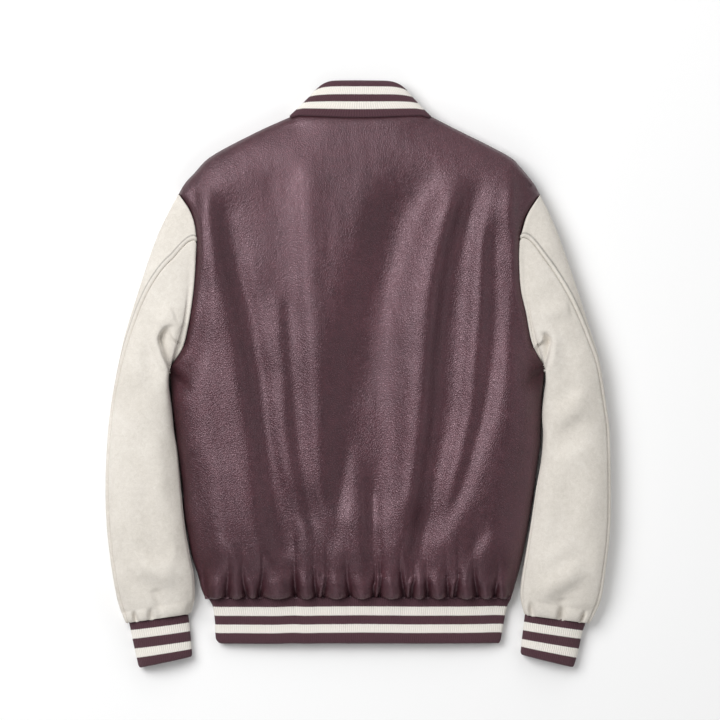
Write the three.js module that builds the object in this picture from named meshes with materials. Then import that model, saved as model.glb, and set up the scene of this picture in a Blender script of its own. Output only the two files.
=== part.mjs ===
// Varsity jacket laid flat, face down: back on top, fronts underneath, sleeves beside the body.
// Millimetres. +Z up from the surface it lies on, +Y towards the collar, +X towards the wearer's right.
// Every cloth piece is a thin wall made from a grid of points and moved inwards by its thickness.
import * as THREE from "three";

// ---------- driving sizes ----------
const LEATHER = 1.8; // wall of the body cloth
const WOOL = 2.4; // wall of the sleeve cloth
const RIB = 3.2; // doubled knit of collar, cuffs and waistband
const GAP = 0.5; // left open at every sewn seam

const HEM_Y = -291; // where the body cloth is sewn to the waistband
const ARMPIT = { x: 246, y: 6, z: 16 };
const SHOULDER = { x: 234.5, y: 234, z: 22 };
const ARMHOLE_BOW = 30; // how far the armhole curves in from its chord
const NECK = { x: 91, y: 335, z: 21, back: 334, front: 254, lift: 34 };
const BODY_THICK = 54; // lying height of the body at the chest
const SIDE_Z = 14; // height of the side seam above the surface
const PLACKET = 17; // each front passes the centre line by this much
const CAP_PROUD = 1.7; // how far a snap cap stands out of the placket

// Half width of the body, seam to seam, and lying height of the back, at stations up the body.
const BODY = [
  { y: -291, half: 199.5, high: 22 },
  { y: -283, half: 203, high: 33 },
  { y: -264, half: 207, high: 41 },
  { y: -225, half: 217, high: 47 },
  { y: -164, half: 229, high: 51 },
  { y: -99, half: 238, high: 53 },
  { y: -34, half: 243, high: 54 },
  { y: 6, half: 245, high: 54 },
  { y: 120, half: 245, high: 53 },
  { y: 234, half: 245, high: 49 },
  { y: 290, half: 245, high: 43 },
  { y: 340, half: 245, high: 34 },
];
// Shoulder line, from the armhole to the neck.
const SHOULDER_LINE = [
  { x: 234.5, y: 234, z: 22 },
  { x: 224, y: 252, z: 21 },
  { x: 209.5, y: 270, z: 20 },
  { x: 184, y: 289, z: 20 },
  { x: 151, y: 307, z: 20 },
  { x: 116, y: 324, z: 21 },
  { x: 91, y: 335, z: 21 },
];
// Sleeve rings: outer edge, inner edge, lying height, heights of both edges, and how far the ring bows up the sleeve.
const SLEEVE = [
  { ox: 234.5, oy: 234, ix: 246, iy: 6, high: 45, oz: 22, iz: 16, bow: 30 },
  { ox: 253.5, oy: 195, ix: 247, iy: -2, high: 48, oz: 21, iz: 19, bow: 27 },
  { ox: 268, oy: 158, ix: 247, iy: -10, high: 50, oz: 20, iz: 22, bow: 23 },
  { ox: 287, oy: 104, ix: 246, iy: -20, high: 51, oz: 20, iz: 24, bow: 17 },
  { ox: 303, oy: 49, ix: 245, iy: -34, high: 51, oz: 20, iz: 25, bow: 12 },
  { ox: 315, oy: -5, ix: 244, iy: -52, high: 50, oz: 20, iz: 25, bow: 8 },
  { ox: 323, oy: -50, ix: 243, iy: -76, high: 49, oz: 20, iz: 25, bow: 5 },
  { ox: 327, oy: -100, ix: 240, iy: -108, high: 48, oz: 20, iz: 25, bow: 3 },
  { ox: 328, oy: -150, ix: 232, iy: -150, high: 48, oz: 20, iz: 24, bow: 1 },
  { ox: 327, oy: -205, ix: 224, iy: -200, high: 47, oz: 20, iz: 22, bow: 0 },
  { ox: 321, oy: -258, ix: 218, iy: -248, high: 46, oz: 20, iz: 20, bow: 0 },
  { ox: 314, oy: -292, ix: 213, iy: -282, high: 43, oz: 18, iz: 18, bow: 0 },
  { ox: 307, oy: -311, ix: 212, iy: -299, high: 36, oz: 15, iz: 15, bow: 0 },
  { ox: 298, oy: -323, ix: 219, iy: -312, high: 25, oz: 11, iz: 11, bow: 0 },
];
// The sleeve's two seams, as shares of the way round each ring (0 outer edge, 1 inner edge over the back, 2 outer edge again).
const SLEEVE_SEAMS = [
  { ring: 0, back: 0.36, front: 1.2 },
  { ring: 2, back: 0.27, front: 1.12 },
  { ring: 4, back: 0.15, front: 1.04 },
  { ring: 6, back: 0.11, front: 1.0 },
  { ring: 9, back: 0.11, front: 0.95 },
  { ring: 13, back: 0.13, front: 0.93 },
];
// Cuff: outer and inner edge at the sleeve seam and at the open end.
const CUFF = [
  { ox: 297, oy: -324.5, ix: 220, iy: -312.8, high: 23, oz: 10, iz: 10 },
  { ox: 292, oy: -344, ix: 217.5, iy: -331, high: 22.5, oz: 10, iz: 10 },
  { ox: 287, oy: -364, ix: 215, iy: -350, high: 22, oz: 10, iz: 10 },
  { ox: 283, oy: -382, ix: 214, iy: -368, high: 22, oz: 10, iz: 10 },
];
// Waistband: half width and lying height down the band.
const BAND = [
  { y: -291.6, half: 198, high: 21 },
  { y: -311, half: 193, high: 20.5 },
  { y: -331, half: 188.5, high: 20 },
  { y: -350, half: 185, high: 20 },
];
// Collar: the flattened loop at heights up the band.
const COLLAR = [
  { x: 91, side: 335.6, back: 334.8, front: 254.8, high: 33, sideZ: 21, low: 0 },
  { x: 78, side: 347.5, back: 350.5, front: 271, high: 31, sideZ: 18, low: 0 },
  { x: 66, side: 360, back: 366, front: 286, high: 29, sideZ: 16, low: 0 },
  { x: 55, side: 372, back: 382, front: 301, high: 28, sideZ: 15, low: 0 },
];
// Largest folds of the back: a line of three points, how far it stands up (or sinks), and its half breadth.
const FOLDS = [
  { x1: -193, y1: 243, x2: -151, y2: 31, x3: -108, y3: -262, up: -7, wide: 13 },
  { x1: -86, y1: 278, x2: -74, y2: 40, x3: -48, y3: -210, up: 4.5, wide: 16 },
  { x1: 103, y1: 265, x2: 69, y2: -5, x3: 48, y3: -220, up: 5, wide: 20 },
  { x1: 135, y1: 235, x2: 103, y2: 5, x3: 65, y3: -262, up: -6, wide: 14 },
  { x1: 168, y1: 248, x2: 139, y2: -5, x3: 90, y3: -235, up: 4, wide: 12 },
  { x1: 190, y1: 255, x2: 178, y2: -5, x3: 112, y3: -220, up: 4, wide: 10 },
  { x1: 9, y1: -130, x2: 10, y2: -200, x3: 8, y3: -255, up: -5, wide: 9 },
  { x1: -14, y1: -90, x2: -15, y2: -160, x3: -22, y3: -250, up: 4, wide: 13 },
];
const SNAPS = [228, 139, 50, -39, -128, -217, -321]; // stations of the snap caps on the centre line
const CAP_R = 7.5;
const SEAM_LIFT = 0.4; // back and front each stand off the line of their shared seam by this
// Where facets fall. Cloths that are sewn together use the same stations along their seam.
const AT = {
  shoulder: [0, 0.06, 0.14, 0.23, 0.33, 0.44, 0.55, 0.66, 0.78, 0.9], // share of the shoulder line, from the armhole
  neckBack: [-1, -0.9, -0.75, -0.56, -0.36, -0.16, 0, 0.16, 0.36, 0.56, 0.75, 0.9, 1], // across the back neck seam
  neckFront: [0, 0.07, 0.17, 0.32, 0.52, 0.76, 1], // share of the front neckline, from the shoulder
  armhole: [1, 0.91, 0.82, 0.73, 0.64, 0.55, 0.46, 0.36, 0.27, 0.18, 0.09, 0], // round the back armhole, from the armpit
  armholeFront: [1, 0.9, 0.8, 0.7, 0.6, 0.48, 0.36, 0.24, 0.12, 0], // round the front armhole, from the armpit
  frontColumns: [0, 0.06, 0.14, 0.23, 0.33, 0.44, 0.55, 0.66, 0.78, 0.9, 0.96, 1], // across a front, from the side
  side: 8, // facets up the side seam
  sideFront: 6,
  along: 16, // facets down the sleeve
};

const COLOUR = { leather: 0x6b4c56, wool: 0xe3dcd2, rib: 0x5a3d48, snap: 0x4d3540 };

// ---------- small helpers ----------
const mix = (a, b, t) => a + (b - a) * t;
const clamp = (v, lo, hi) => Math.min(hi, Math.max(lo, v));
const dome = (t) => Math.sqrt(1 - (1 - clamp(t, 0, 1)) ** 2); // quarter circle, 0 to 1
const ease = (t) => ((t) => t * t * (3 - 2 * t))(clamp(t, 0, 1));

// A column of a table at any value of its key column, by a smooth curve through the rows.
function column(rows, key, name, at) {
  const up = rows[1][key] > rows[0][key] ? 1 : -1;
  let i = 0;
  while (i < rows.length - 2 && up * at > up * rows[i + 1][key]) i++;
  const a = rows[Math.max(i - 1, 0)], b = rows[i], c = rows[i + 1], d = rows[Math.min(i + 2, rows.length - 1)];
  const t = clamp((at - b[key]) / (c[key] - b[key]), 0, 1), span = c[key] - b[key];
  const m0 = a === b ? (c[name] - b[name]) / span : (c[name] - a[name]) / (c[key] - a[key]);
  const m1 = d === c ? (c[name] - b[name]) / span : (d[name] - b[name]) / (d[key] - b[key]);
  const t2 = t * t, t3 = t2 * t;
  return (2 * t3 - 3 * t2 + 1) * b[name] + (t3 - 2 * t2 + t) * span * m0 + (3 * t2 - 2 * t3) * c[name] + (t3 - t2) * span * m1;
}
const ranked = (rows) => rows.map((r, i) => ({ ...r, n: i / (rows.length - 1) }));
const SHOULDER_N = ranked(SHOULDER_LINE), SLEEVE_N = ranked(SLEEVE), CUFF_N = ranked(CUFF), BAND_N = ranked(BAND), COLLAR_N = ranked(COLLAR);

// A closed wall from a grid of outer points [column][row], moved inwards by thick.
// out: 1 or -1, the side of the grid that faces out. loop joins the last column to the first.
// seams: for an edge (u0, u1, v0, v1), the directions across its seam at a share along it, so that both cloths end flush.
// normal: the grid's own normal at [i][j], where the surface is known beyond its edges.
function wall(grid, thick, { out = 1, loop = false, seams = {}, normal = null } = {}) {
  const nu = grid.length, nv = grid[0].length, pos = [], index = [];
  const at = (i, j) => grid[loop ? (i + nu) % nu : clamp(i, 0, nu - 1)][clamp(j, 0, nv - 1)];
  const inner = grid.map((col, i) => col.map((p, j) => {
    const du = at(i + 1, j).clone().sub(at(i - 1, j)), dv = at(i, j + 1).clone().sub(at(i, j - 1));
    const n = normal ? normal(i, j) : du.cross(dv).normalize();
    const edges = [!loop && i === 0 && ["u0", j / (nv - 1)], !loop && i === nu - 1 && ["u1", j / (nv - 1)], j === 0 && ["v0", i / (nu - 1)], j === nv - 1 && ["v1", i / (nu - 1)]];
    for (const e of edges) {
      for (const across of (e && seams[e[0]] && seams[e[0]](e[1])) || []) {
        const flat = n.clone().addScaledVector(across, -n.dot(across));
        if (flat.length() > 0.02) n.copy(flat.normalize());
      }
    }
    return p.clone().addScaledVector(n, -thick * out);
  }));
  for (const g of [grid, inner]) for (const col of g) for (const p of col) pos.push(p.x, p.y, p.z);
  const id = (layer, i, j) => layer * nu * nv + ((i + nu) % nu) * nv + j;
  const quad = (a, b, c, d) => (out > 0 ? index.push(a, b, c, a, c, d) : index.push(a, c, b, a, d, c));
  for (let i = 0; i < (loop ? nu : nu - 1); i++) {
    for (let j = 0; j < nv - 1; j++) {
      quad(id(0, i, j), id(0, i + 1, j), id(0, i + 1, j + 1), id(0, i, j + 1));
      quad(id(1, i, j), id(1, i, j + 1), id(1, i + 1, j + 1), id(1, i + 1, j));
    }
    quad(id(0, i, 0), id(1, i, 0), id(1, i + 1, 0), id(0, i + 1, 0));
    quad(id(0, i, nv - 1), id(0, i + 1, nv - 1), id(1, i + 1, nv - 1), id(1, i, nv - 1));
  }
  if (!loop) for (let j = 0; j < nv - 1; j++) {
    quad(id(0, 0, j), id(0, 0, j + 1), id(1, 0, j + 1), id(1, 0, j));
    quad(id(0, nu - 1, j), id(1, nu - 1, j), id(1, nu - 1, j + 1), id(0, nu - 1, j + 1));
  }
  const g = new THREE.BufferGeometry();
  g.setAttribute("position", new THREE.Float32BufferAttribute(pos, 3));
  g.setIndex(index);
  g.computeVertexNormals();
  return g;
}
const grid = (nu, nv, f, loop = false) => Array.from({ length: loop ? nu : nu + 1 }, (_, i) => Array.from({ length: nv + 1 }, (_, j) => f(i / nu, j / nv)));
const net = (across, up, f) => across.map((a) => up.map((b) => f(a, b)));
const steps = (from, to, n) => Array.from({ length: n + 1 }, (_, i) => mix(from, to, i / n));
const V = (x, y, z) => new THREE.Vector3(x, y, z);

const jacket = new THREE.Group();
function add(name, geometry, kind) {
  const rough = { leather: 0.5, wool: 0.95, rib: 0.85, snap: 0.35 }[kind];
  const mesh = new THREE.Mesh(geometry, new THREE.MeshStandardMaterial({ color: COLOUR[kind], roughness: rough, metalness: kind === "snap" ? 0.6 : 0 }));
  mesh.name = name;
  jacket.add(mesh);
  return mesh;
}

// ---------- body ----------
// Armhole edge at a share s of its chord, from the shoulder down to the armpit. On the front it is cut further in.
const armholeX = (s, bow) => mix(SHOULDER.x, ARMPIT.x, s) - bow * Math.sin(Math.PI * clamp(s, 0, 1)) ** 0.62;
const armholeZ = (s, high) => mix(SHOULDER.z, ARMPIT.z, s) + (high - mix(SHOULDER.z, ARMPIT.z, s)) * (4 * s * (1 - s)) ** 0.42;
const armholeLow = (s) => mix(SHOULDER.z, ARMPIT.z, s) * (1 - (4 * s * (1 - s)) ** 0.3);
const FRONT_BOW = ARMHOLE_BOW + 12;

// The edge of the body at a share v of its way up the side: side seam up to SIDE_SHARE, then armhole.
const SIDE_SHARE = 0.565;
const ringShare = (t) => (1 - Math.cos(Math.PI * t)) / 2; // share of a ring's chord at a share t of half its way round
const rows = (cells, armhole) => [...steps(0, SIDE_SHARE, cells).slice(0, -1), ...armhole.map((t) => 1 - ringShare(t) * (1 - SIDE_SHARE))];
function sideEdge(v, front) {
  if (v < SIDE_SHARE - 1e-6) {
    const y = mix(HEM_Y, ARMPIT.y - 1, v / SIDE_SHARE), rise = ease((y - ARMPIT.y + 40) / 40);
    return { x: column(BODY, "y", "half", y), y, z: SIDE_Z * mix(0.68, 1, ease((y - HEM_Y) / 40)) + rise * (ARMPIT.z - SIDE_Z) };
  }
  const s = 1 - (v - SIDE_SHARE) / (1 - SIDE_SHARE), bow = front ? FRONT_BOW : ARMHOLE_BOW;
  const z = front ? armholeLow(s) : armholeZ(s, SLEEVE[0].high);
  return { x: armholeX(s, bow), y: mix(SHOULDER.y, ARMPIT.y, s), z };
}
// Half width of the body outline at a height y, and how it slopes.
function outline(y) {
  if (y <= ARMPIT.y) return column(BODY, "y", "half", y);
  if (y <= SHOULDER.y) return armholeX((SHOULDER.y - y) / (SHOULDER.y - ARMPIT.y), ARMHOLE_BOW);
  return y < NECK.y ? column(SHOULDER_LINE, "y", "x", y) : NECK.x;
}
function fold(x, y) {
  let z = 0;
  for (const f of FOLDS) {
    const t = clamp((f.y1 - y) / (f.y1 - f.y3), -0.2, 1.2), m = (f.y1 - f.y2) / (f.y1 - f.y3);
    const cx = t < m ? mix(f.x1, f.x2, t / m) : mix(f.x2, f.x3, (t - m) / (1 - m));
    z += f.up * Math.exp(-(((x - cx) / f.wide) ** 2)) * ease((t + 0.12) / 0.3) * ease((1.15 - t) / 0.25);
  }
  return z;
}
// Height of the back cloth's outer face above the surface.
function backZ(x, y) {
  const half = outline(y), slope = (outline(y + 1) - outline(y - 1)) / 2;
  const away = Math.max(0, half - Math.abs(x)) / Math.sqrt(1 + (y > SHOULDER.y ? slope * slope : 0));
  let edge, soft;
  if (y <= ARMPIT.y) [edge, soft] = [sideEdge(SIDE_SHARE * (y - HEM_Y) / (ARMPIT.y - 1 - HEM_Y), false).z, 62];
  else if (y <= SHOULDER.y) [edge, soft] = [armholeZ((SHOULDER.y - y) / (SHOULDER.y - ARMPIT.y), SLEEVE[0].high), 70];
  else [edge, soft] = [y < NECK.y ? column(SHOULDER_LINE, "y", "z", y) : NECK.z, 62];
  const high = column(BODY, "y", "high", y);
  const full = edge + (high - edge) * dome(away / soft);
  return full + fold(x, y) * ease(away / 25) * ease((y - HEM_Y) / 12);
}
// A point of a four-sided patch from its side edges and its bottom and top edges.
function patch(u, v, bottom, top, left, right) {
  const b = bottom(u), t = top(u), l = left(v), r = right(v), b0 = bottom(0), b1 = bottom(1), t0 = top(0), t1 = top(1);
  return ["x", "y"].map((k) => (1 - v) * b[k] + v * t[k] + (1 - u) * l[k] + u * r[k] - (1 - u) * (1 - v) * b0[k] - u * (1 - v) * b1[k] - (1 - u) * v * t0[k] - u * v * t1[k]);
}
const shoulderAt = (n) => ({ x: column(SHOULDER_N, "n", "x", n), y: column(SHOULDER_N, "n", "y", n), z: column(SHOULDER_N, "n", "z", n) });
// Back neck seam across, from -1 to 1: a slight dip in the middle.
const neckBack = (c) => ({ x: NECK.x * c, y: mix(NECK.back, NECK.y + 3, Math.abs(c) ** 1.5) - 3 * ease((Math.abs(c) - 0.86) / 0.14), z: mix(NECK.lift, NECK.z, Math.abs(c) ** 3) });

// The back's top edge by columns: left shoulder, neck, right shoulder.
const backColumns = [...AT.shoulder.map((n) => ["shoulder", n, -1]), ...AT.neckBack.map((c) => ["neck", c, 1]), ...[...AT.shoulder].reverse().map((n) => ["shoulder", n, 1])];
const backTopAt = ([kind, n, side]) => {
  const p = kind === "neck" ? neckBack(n) : shoulderAt(n);
  return kind === "neck" ? { x: p.x, y: p.y - GAP, z: p.z } : { x: side * p.x, y: p.y - GAP, z: p.z + SEAM_LIFT };
};
// A panel's grid from its columns: across i/last, with the four edges given.
function panel(columns, ups, topAt, bottom, left, right, height) {
  const last = columns.length - 1, top = (u) => topAt(columns[Math.round(u * last)]);
  return columns.map((c, i) => ups.map((v) => {
    const u = i / last, [x, y] = patch(u, v, bottom, top, left, right);
    return V(x, y, height(x, y, u, v, v === 1 ? topAt(c).z : null));
  }));
}
// Directions across the body's seams: side seam and shoulder join back to front, the armhole joins body to sleeve.
const UP = V(0, 0, 1), ACROSS = V(1, 0, 0), ALONG = V(0, 1, 0);
const NEAR_PIT = 0.05; // share of the side near the armpit where body and sleeve lie face to face
const sideSeam = (ups) => (share) => ((v) => (v <= SIDE_SHARE ? [UP] : v < SIDE_SHARE + NEAR_PIT ? [] : [ACROSS]))(ups[Math.round(share * (ups.length - 1))]);
const neckAcross = (q, side) => V(side * Math.cos((q * Math.PI) / 2), -Math.sin((q * Math.PI) / 2), 0);
const topSeam = (columns) => (share) => {
  const [kind, n] = columns[Math.round(share * (columns.length - 1))];
  if (kind === "shoulder") return [UP];
  return Math.abs(n) === 1 ? [UP, ALONG] : [ALONG];
};
const backBottom = (u) => ({ x: (2 * u - 1) * BODY[0].half, y: HEM_Y + GAP });
const backLeft = (v) => ((e) => ({ x: -e.x + GAP, y: e.y }))(sideEdge(v, false));
const backRight = (v) => ((e) => ({ x: e.x - GAP, y: e.y }))(sideEdge(v, false));
const backRows = rows(AT.side, AT.armhole);
const hemward = () => [ALONG];
add("back", wall(panel(backColumns, backRows, backTopAt, backBottom, backLeft, backRight, (x, y, u, v, top) => {
  if (top !== null) return top;
  return u === 0 || u === 1 ? sideEdge(v, false).z + (v <= SIDE_SHARE ? SEAM_LIFT : 0) : backZ(x, y);
}), LEATHER, { seams: { u0: sideSeam(backRows), u1: sideSeam(backRows), v0: hemward, v1: topSeam(backColumns) } }), "leather");

// Fronts: flat on the surface, rising only to their seams. side -1 is the wearer's left, which laps over and lies underneath.
const edgeLow = (z, away) => z * (1 - dome(away / 34)); // how the underside rises to an edge
const neckFront = (q) => {
  const y = NECK.y - (NECK.y - NECK.front) * Math.sin((q * Math.PI) / 2) ** 1.15;
  return { x: NECK.x * Math.cos((q * Math.PI) / 2), y, z: edgeLow(NECK.z, 0.9 * (NECK.y - y)) };
};
// How far an edge is held up at the lap: the left lies on the snap caps, the right on the left.
const lapLift = (x, thick, side) => (side < 0 ? CAP_PROUD * ease((70 - Math.abs(x)) / 36) : (CAP_PROUD + thick + 2 * GAP) * ease((76 - x) / 40));
function frontZ(x, y, side) {
  const half = outline(y), slope = y > SHOULDER.y ? (outline(y + 1) - outline(y - 1)) / 2 : 0;
  const away = Math.max(0, half - Math.abs(x)) / Math.sqrt(1 + slope * slope);
  let edge;
  if (y <= ARMPIT.y) edge = sideEdge((SIDE_SHARE * (y - HEM_Y)) / (ARMPIT.y - HEM_Y), true).z;
  else if (y <= SHOULDER.y) edge = armholeLow((SHOULDER.y - y) / (SHOULDER.y - ARMPIT.y));
  else edge = y < NECK.y ? column(SHOULDER_LINE, "y", "z", y) : NECK.z;
  return edgeLow(edge, away) + lapLift(x, LEATHER, side);
}
const frontRows = rows(AT.sideFront, AT.armholeFront);
for (const side of [-1, 1]) {
  const over = -side * PLACKET; // how far past the centre line this front reaches
  const columns = AT.frontColumns.map((n) => ["shoulder", n]);
  const neckRows = [...AT.neckFront].reverse(), placketRows = frontRows.length - neckRows.length; // rows ending on the neckline, and on the placket
  const topAt = ([, n]) => ((p) => ({ x: side * p.x, y: p.y - GAP, z: p.z - SEAM_LIFT }))(shoulderAt(n));
  const bottom = (u) => ({ x: mix(side * BODY[0].half, over, u), y: HEM_Y + GAP });
  const left = (v) => ((e) => ({ x: side * (e.x - GAP * (v > SIDE_SHARE ? 4 : 1)), y: e.y }))(sideEdge(v, true));
  const q = (v) => neckRows[frontRows.indexOf(v) - placketRows];
  const right = (v) => {
    if (q(v) === undefined) return { x: over, y: mix(HEM_Y + GAP, NECK.front - GAP, frontRows.indexOf(v) / (placketRows - 1)) };
    const p = neckFront(q(v)), off = neckAcross(q(v), side).multiplyScalar(GAP);
    return { x: side * p.x + off.x, y: p.y + off.y, z: p.z };
  };
  const innerEdge = (share) => {
    const v = frontRows[Math.round(share * (frontRows.length - 1))], k = frontRows.indexOf(v) - placketRows;
    return k < 0 ? (k === -1 ? [ALONG] : []) : q(v) === 0 ? [UP, ACROSS] : [neckAcross(q(v), side)];
  };
  add(side < 0 ? "front_left" : "front_right", wall(panel(columns, frontRows, topAt, bottom, left, right, (x, y, u, v, top) => {
    if (u === 0) return sideEdge(v, true).z - (v <= SIDE_SHARE || v === 1 ? SEAM_LIFT : 0);
    if (u === 1 && q(v) !== undefined) return Math.max(neckFront(q(v)).z - (v === 1 ? SEAM_LIFT : 0), lapLift(x, LEATHER, side));
    return top !== null ? top : frontZ(x, y, side);
  }), LEATHER, { out: side, seams: { u0: sideSeam(frontRows), u1: innerEdge, v0: hemward, v1: () => [UP] } }), "leather");
}

// ---------- sleeves ----------
// A point of a flattened ring: share t from 0 (outer edge) over the back to 1 (inner edge) and under the front to 2.
function ringPoint(r, t, bowFront = r.bow ?? 0, bowPower = 1.3) {
  t = ((t % 2) + 2) % 2;
  const under = t > 1, q = under ? 2 - t : t, s = ringShare(q), swell = 4 * s * (1 - s);
  const dx = r.ix - r.ox, dy = r.iy - r.oy, long = Math.hypot(dx, dy);
  const push = (under ? bowFront : r.bow ?? 0) * Math.sin(Math.PI * s) ** bowPower;
  const edge = mix(r.oz, r.iz, s);
  const z = under ? edge * (1 - swell ** 0.3) : edge + (r.high - edge) * swell ** 0.42;
  return V(r.ox + dx * s + (push * dy) / long, r.oy + dy * s - (push * dx) / long, Math.max(0, z));
}
function ringAt(rows, n) {
  const r = {};
  for (const k of Object.keys(rows[0])) if (k !== "n") r[k] = column(rows, "n", k, n);
  return r;
}
const SEAMS = SLEEVE_SEAMS.map((r) => ({ ...r, n: r.ring / (SLEEVE.length - 1) }));
const seamAt = (n, name) => column(SEAMS, "n", name, n);
// The armhole ring follows the body's edge, moved off it by a gap; further down the ring is square to the sleeve.
function sleevePoint(n, t) {
  const p = ringPoint(ringAt(SLEEVE_N, n), t, ringAt(SLEEVE_N, n).bow + 12 * (1 - ease(n / 0.3)));
  if (n < 0.08) {
    const r = SLEEVE[0], q = ((t % 2) + 2) % 2, under = q > 1, s = ringShare(under ? 2 - q : q), k = 1 - ease(n / 0.08);
    const edge = V(armholeX(s, under ? FRONT_BOW : ARMHOLE_BOW), mix(r.oy, r.iy, s), p.z);
    p.lerp(edge, k);
  }
  return p;
}
const ARMHOLE_GAP = 0.9;
for (const side of [-1, 1]) {
  const hand = side < 0 ? "left" : "right";
  const point = (n, t) => {
    const p = sleevePoint(n, t);
    return V(side * (p.x + ARMHOLE_GAP), p.y, p.z);
  };
  const wayNormal = (n, t) => {
    const e = 0.02, n0 = Math.max(0, n - e), n1 = Math.min(1, n + e);
    return point(n, t + e).sub(point(n, t - e)).cross(point(n1, t).sub(point(n0, t))).normalize();
  };
  const slit = (n, t, way) => t + (way * GAP * mix(2.2, 0.6, ease(n / 0.3))) / (point(n, t + 0.01).distanceTo(point(n, t - 0.01)) / 0.02);
  const ns = steps(0, 1, AT.along);
  const wrist = () => [V(side * 0.22, 0.975, 0).normalize()];
  const half = (name, base) => {
    const b0 = base[0], b1 = base[base.length - 1];
    const t = (b, n) => {
      const from = name === "under" ? seamAt(n, "back") : seamAt(n, "front"), to = name === "under" ? seamAt(n, "front") : 2 + seamAt(n, "back");
      return mix(slit(n, from, 1), slit(n, to, -1), (b - b0) / (b1 - b0));
    };
    const g = net(base, ns, (b, n) => point(n, t(b, n)));
    const armhole = (share) => (Math.abs(base[Math.round(share * (base.length - 1))] - 1) < 0.17 ? [] : [ACROSS]);
    add("sleeve_" + hand + "_" + name, wall(g, WOOL, { out: side, seams: { v0: armhole, v1: wrist }, normal: (i, j) => wayNormal(ns[j], t(base[i], ns[j])) }), "wool");
  };
  half("under", [...[...AT.armhole].reverse().filter((t) => t >= 0.36), 1.1, 1.2]);
  half("top", [...AT.armholeFront.filter((t) => t <= 0.8).map((t) => 2 - t), ...[...AT.armhole].reverse().filter((t) => t > 0 && t <= 0.36).map((t) => 2 + t)]);
  const cuff = (n, t) => ((p) => V(side * (p.x + ARMHOLE_GAP), p.y, p.z))(ringPoint(ringAt(CUFF_N, n), t));
  add("cuff_" + hand, wall(grid(20, 3, (u, n) => cuff(n, 2 * u), true), RIB, { out: side, loop: true, seams: { v0: wrist } }), "rib");
}

// ---------- waistband ----------
// One strip round the body: from the lapping end under the centre, out to the left, over the back, and back to the right end.
function bandPoint(w, n) {
  const r = ringAt(BAND_N, n), side = SIDE_Z * 0.62;
  const overlap = PLACKET - 1;
  if (w < 0.25) { // under, left end to left side
    const x = mix(overlap, -r.half, Math.sin((w / 0.25) * Math.PI / 2) ** 1), away = (r.half - Math.abs(x)) / 16;
    return V(x, r.y, side * (1 - dome(x < 0 ? away : 9)) + lapLift(x, RIB, -1));
  }
  if (w > 0.75) { // under, right side to right end, which lies on the left end
    const x = mix(-overlap, r.half, Math.sin(((1 - w) / 0.25) * Math.PI / 2)), away = (r.half - Math.abs(x)) / 16;
    return V(x, r.y, side * (1 - dome(x > 0 ? away : 9)) + lapLift(x, RIB, 1));
  }
  const a = ((w - 0.25) / 0.5) * Math.PI, c = Math.cos(a), x = -r.half * Math.sign(c) * Math.abs(c) ** 0.9;
  return V(x, r.y, side + (r.high - side) * Math.sin(a) ** 0.55);
}
add("waistband", wall(grid(38, 3, bandPoint), RIB, { out: -1, seams: { v0: hemward } }), "rib");

// ---------- collar ----------
// The collar's flattened loop, open at the centre front: from the left front end round the back to the right one.
const collarColumns = [...[...AT.neckFront].reverse().map((q) => ["front", q, -1]), ...AT.neckBack.slice(1, -1).map((c) => ["back", c, 1]), ...AT.neckFront.map((q) => ["front", q, 1])];
function collarPoint([kind, k, side], n) {
  const r = ringAt(COLLAR_N, n);
  if (kind === "front") {
    const x = Math.max(1.2, r.x * Math.cos((k * Math.PI) / 2)), y = r.side - (r.side - r.front) * Math.sin((k * Math.PI) / 2) ** 1.15;
    return V(side * x, y, Math.max(edgeLow(r.sideZ, 0.9 * (r.side - y)), lapLift(side * x, LEATHER, side)));
  }
  const c = Math.abs(k), seam = neckBack(k);
  const y = mix(r.side + (r.back - r.side) * (1 - c ** 4), seam.y + 2.4 * GAP, (1 - n) ** 3);
  return V(k * r.x, y, r.sideZ + (r.high - r.sideZ) * Math.sin(Math.acos(c)) ** 0.7);
}
const collarSeam = (share) => (([kind, k, side]) => [kind === "front" && k > 0 ? neckAcross(k, side) : ALONG])(collarColumns[Math.round(share * (collarColumns.length - 1))]);
add("collar", wall(net(collarColumns, steps(0, 1, 3), collarPoint), RIB, { seams: { v0: collarSeam } }), "rib");

// ---------- snaps ----------
// Domed caps on the lapping front and on the waistband's end, pressed face down.
SNAPS.forEach((y, i) => {
  const r = CAP_R, h = CAP_PROUD - 0.4;
  const cap = new THREE.LatheGeometry([[0, 0], [r * 0.8, 0], [r, h * 0.6], [r, h], [0, h]].map(([a, b]) => new THREE.Vector2(a, b)), 12);
  cap.rotateX(Math.PI / 2);
  const m = add("snap_" + (i + 1), cap, "snap");
  m.position.set(0, y, 0);
});

export default jacket;
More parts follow.
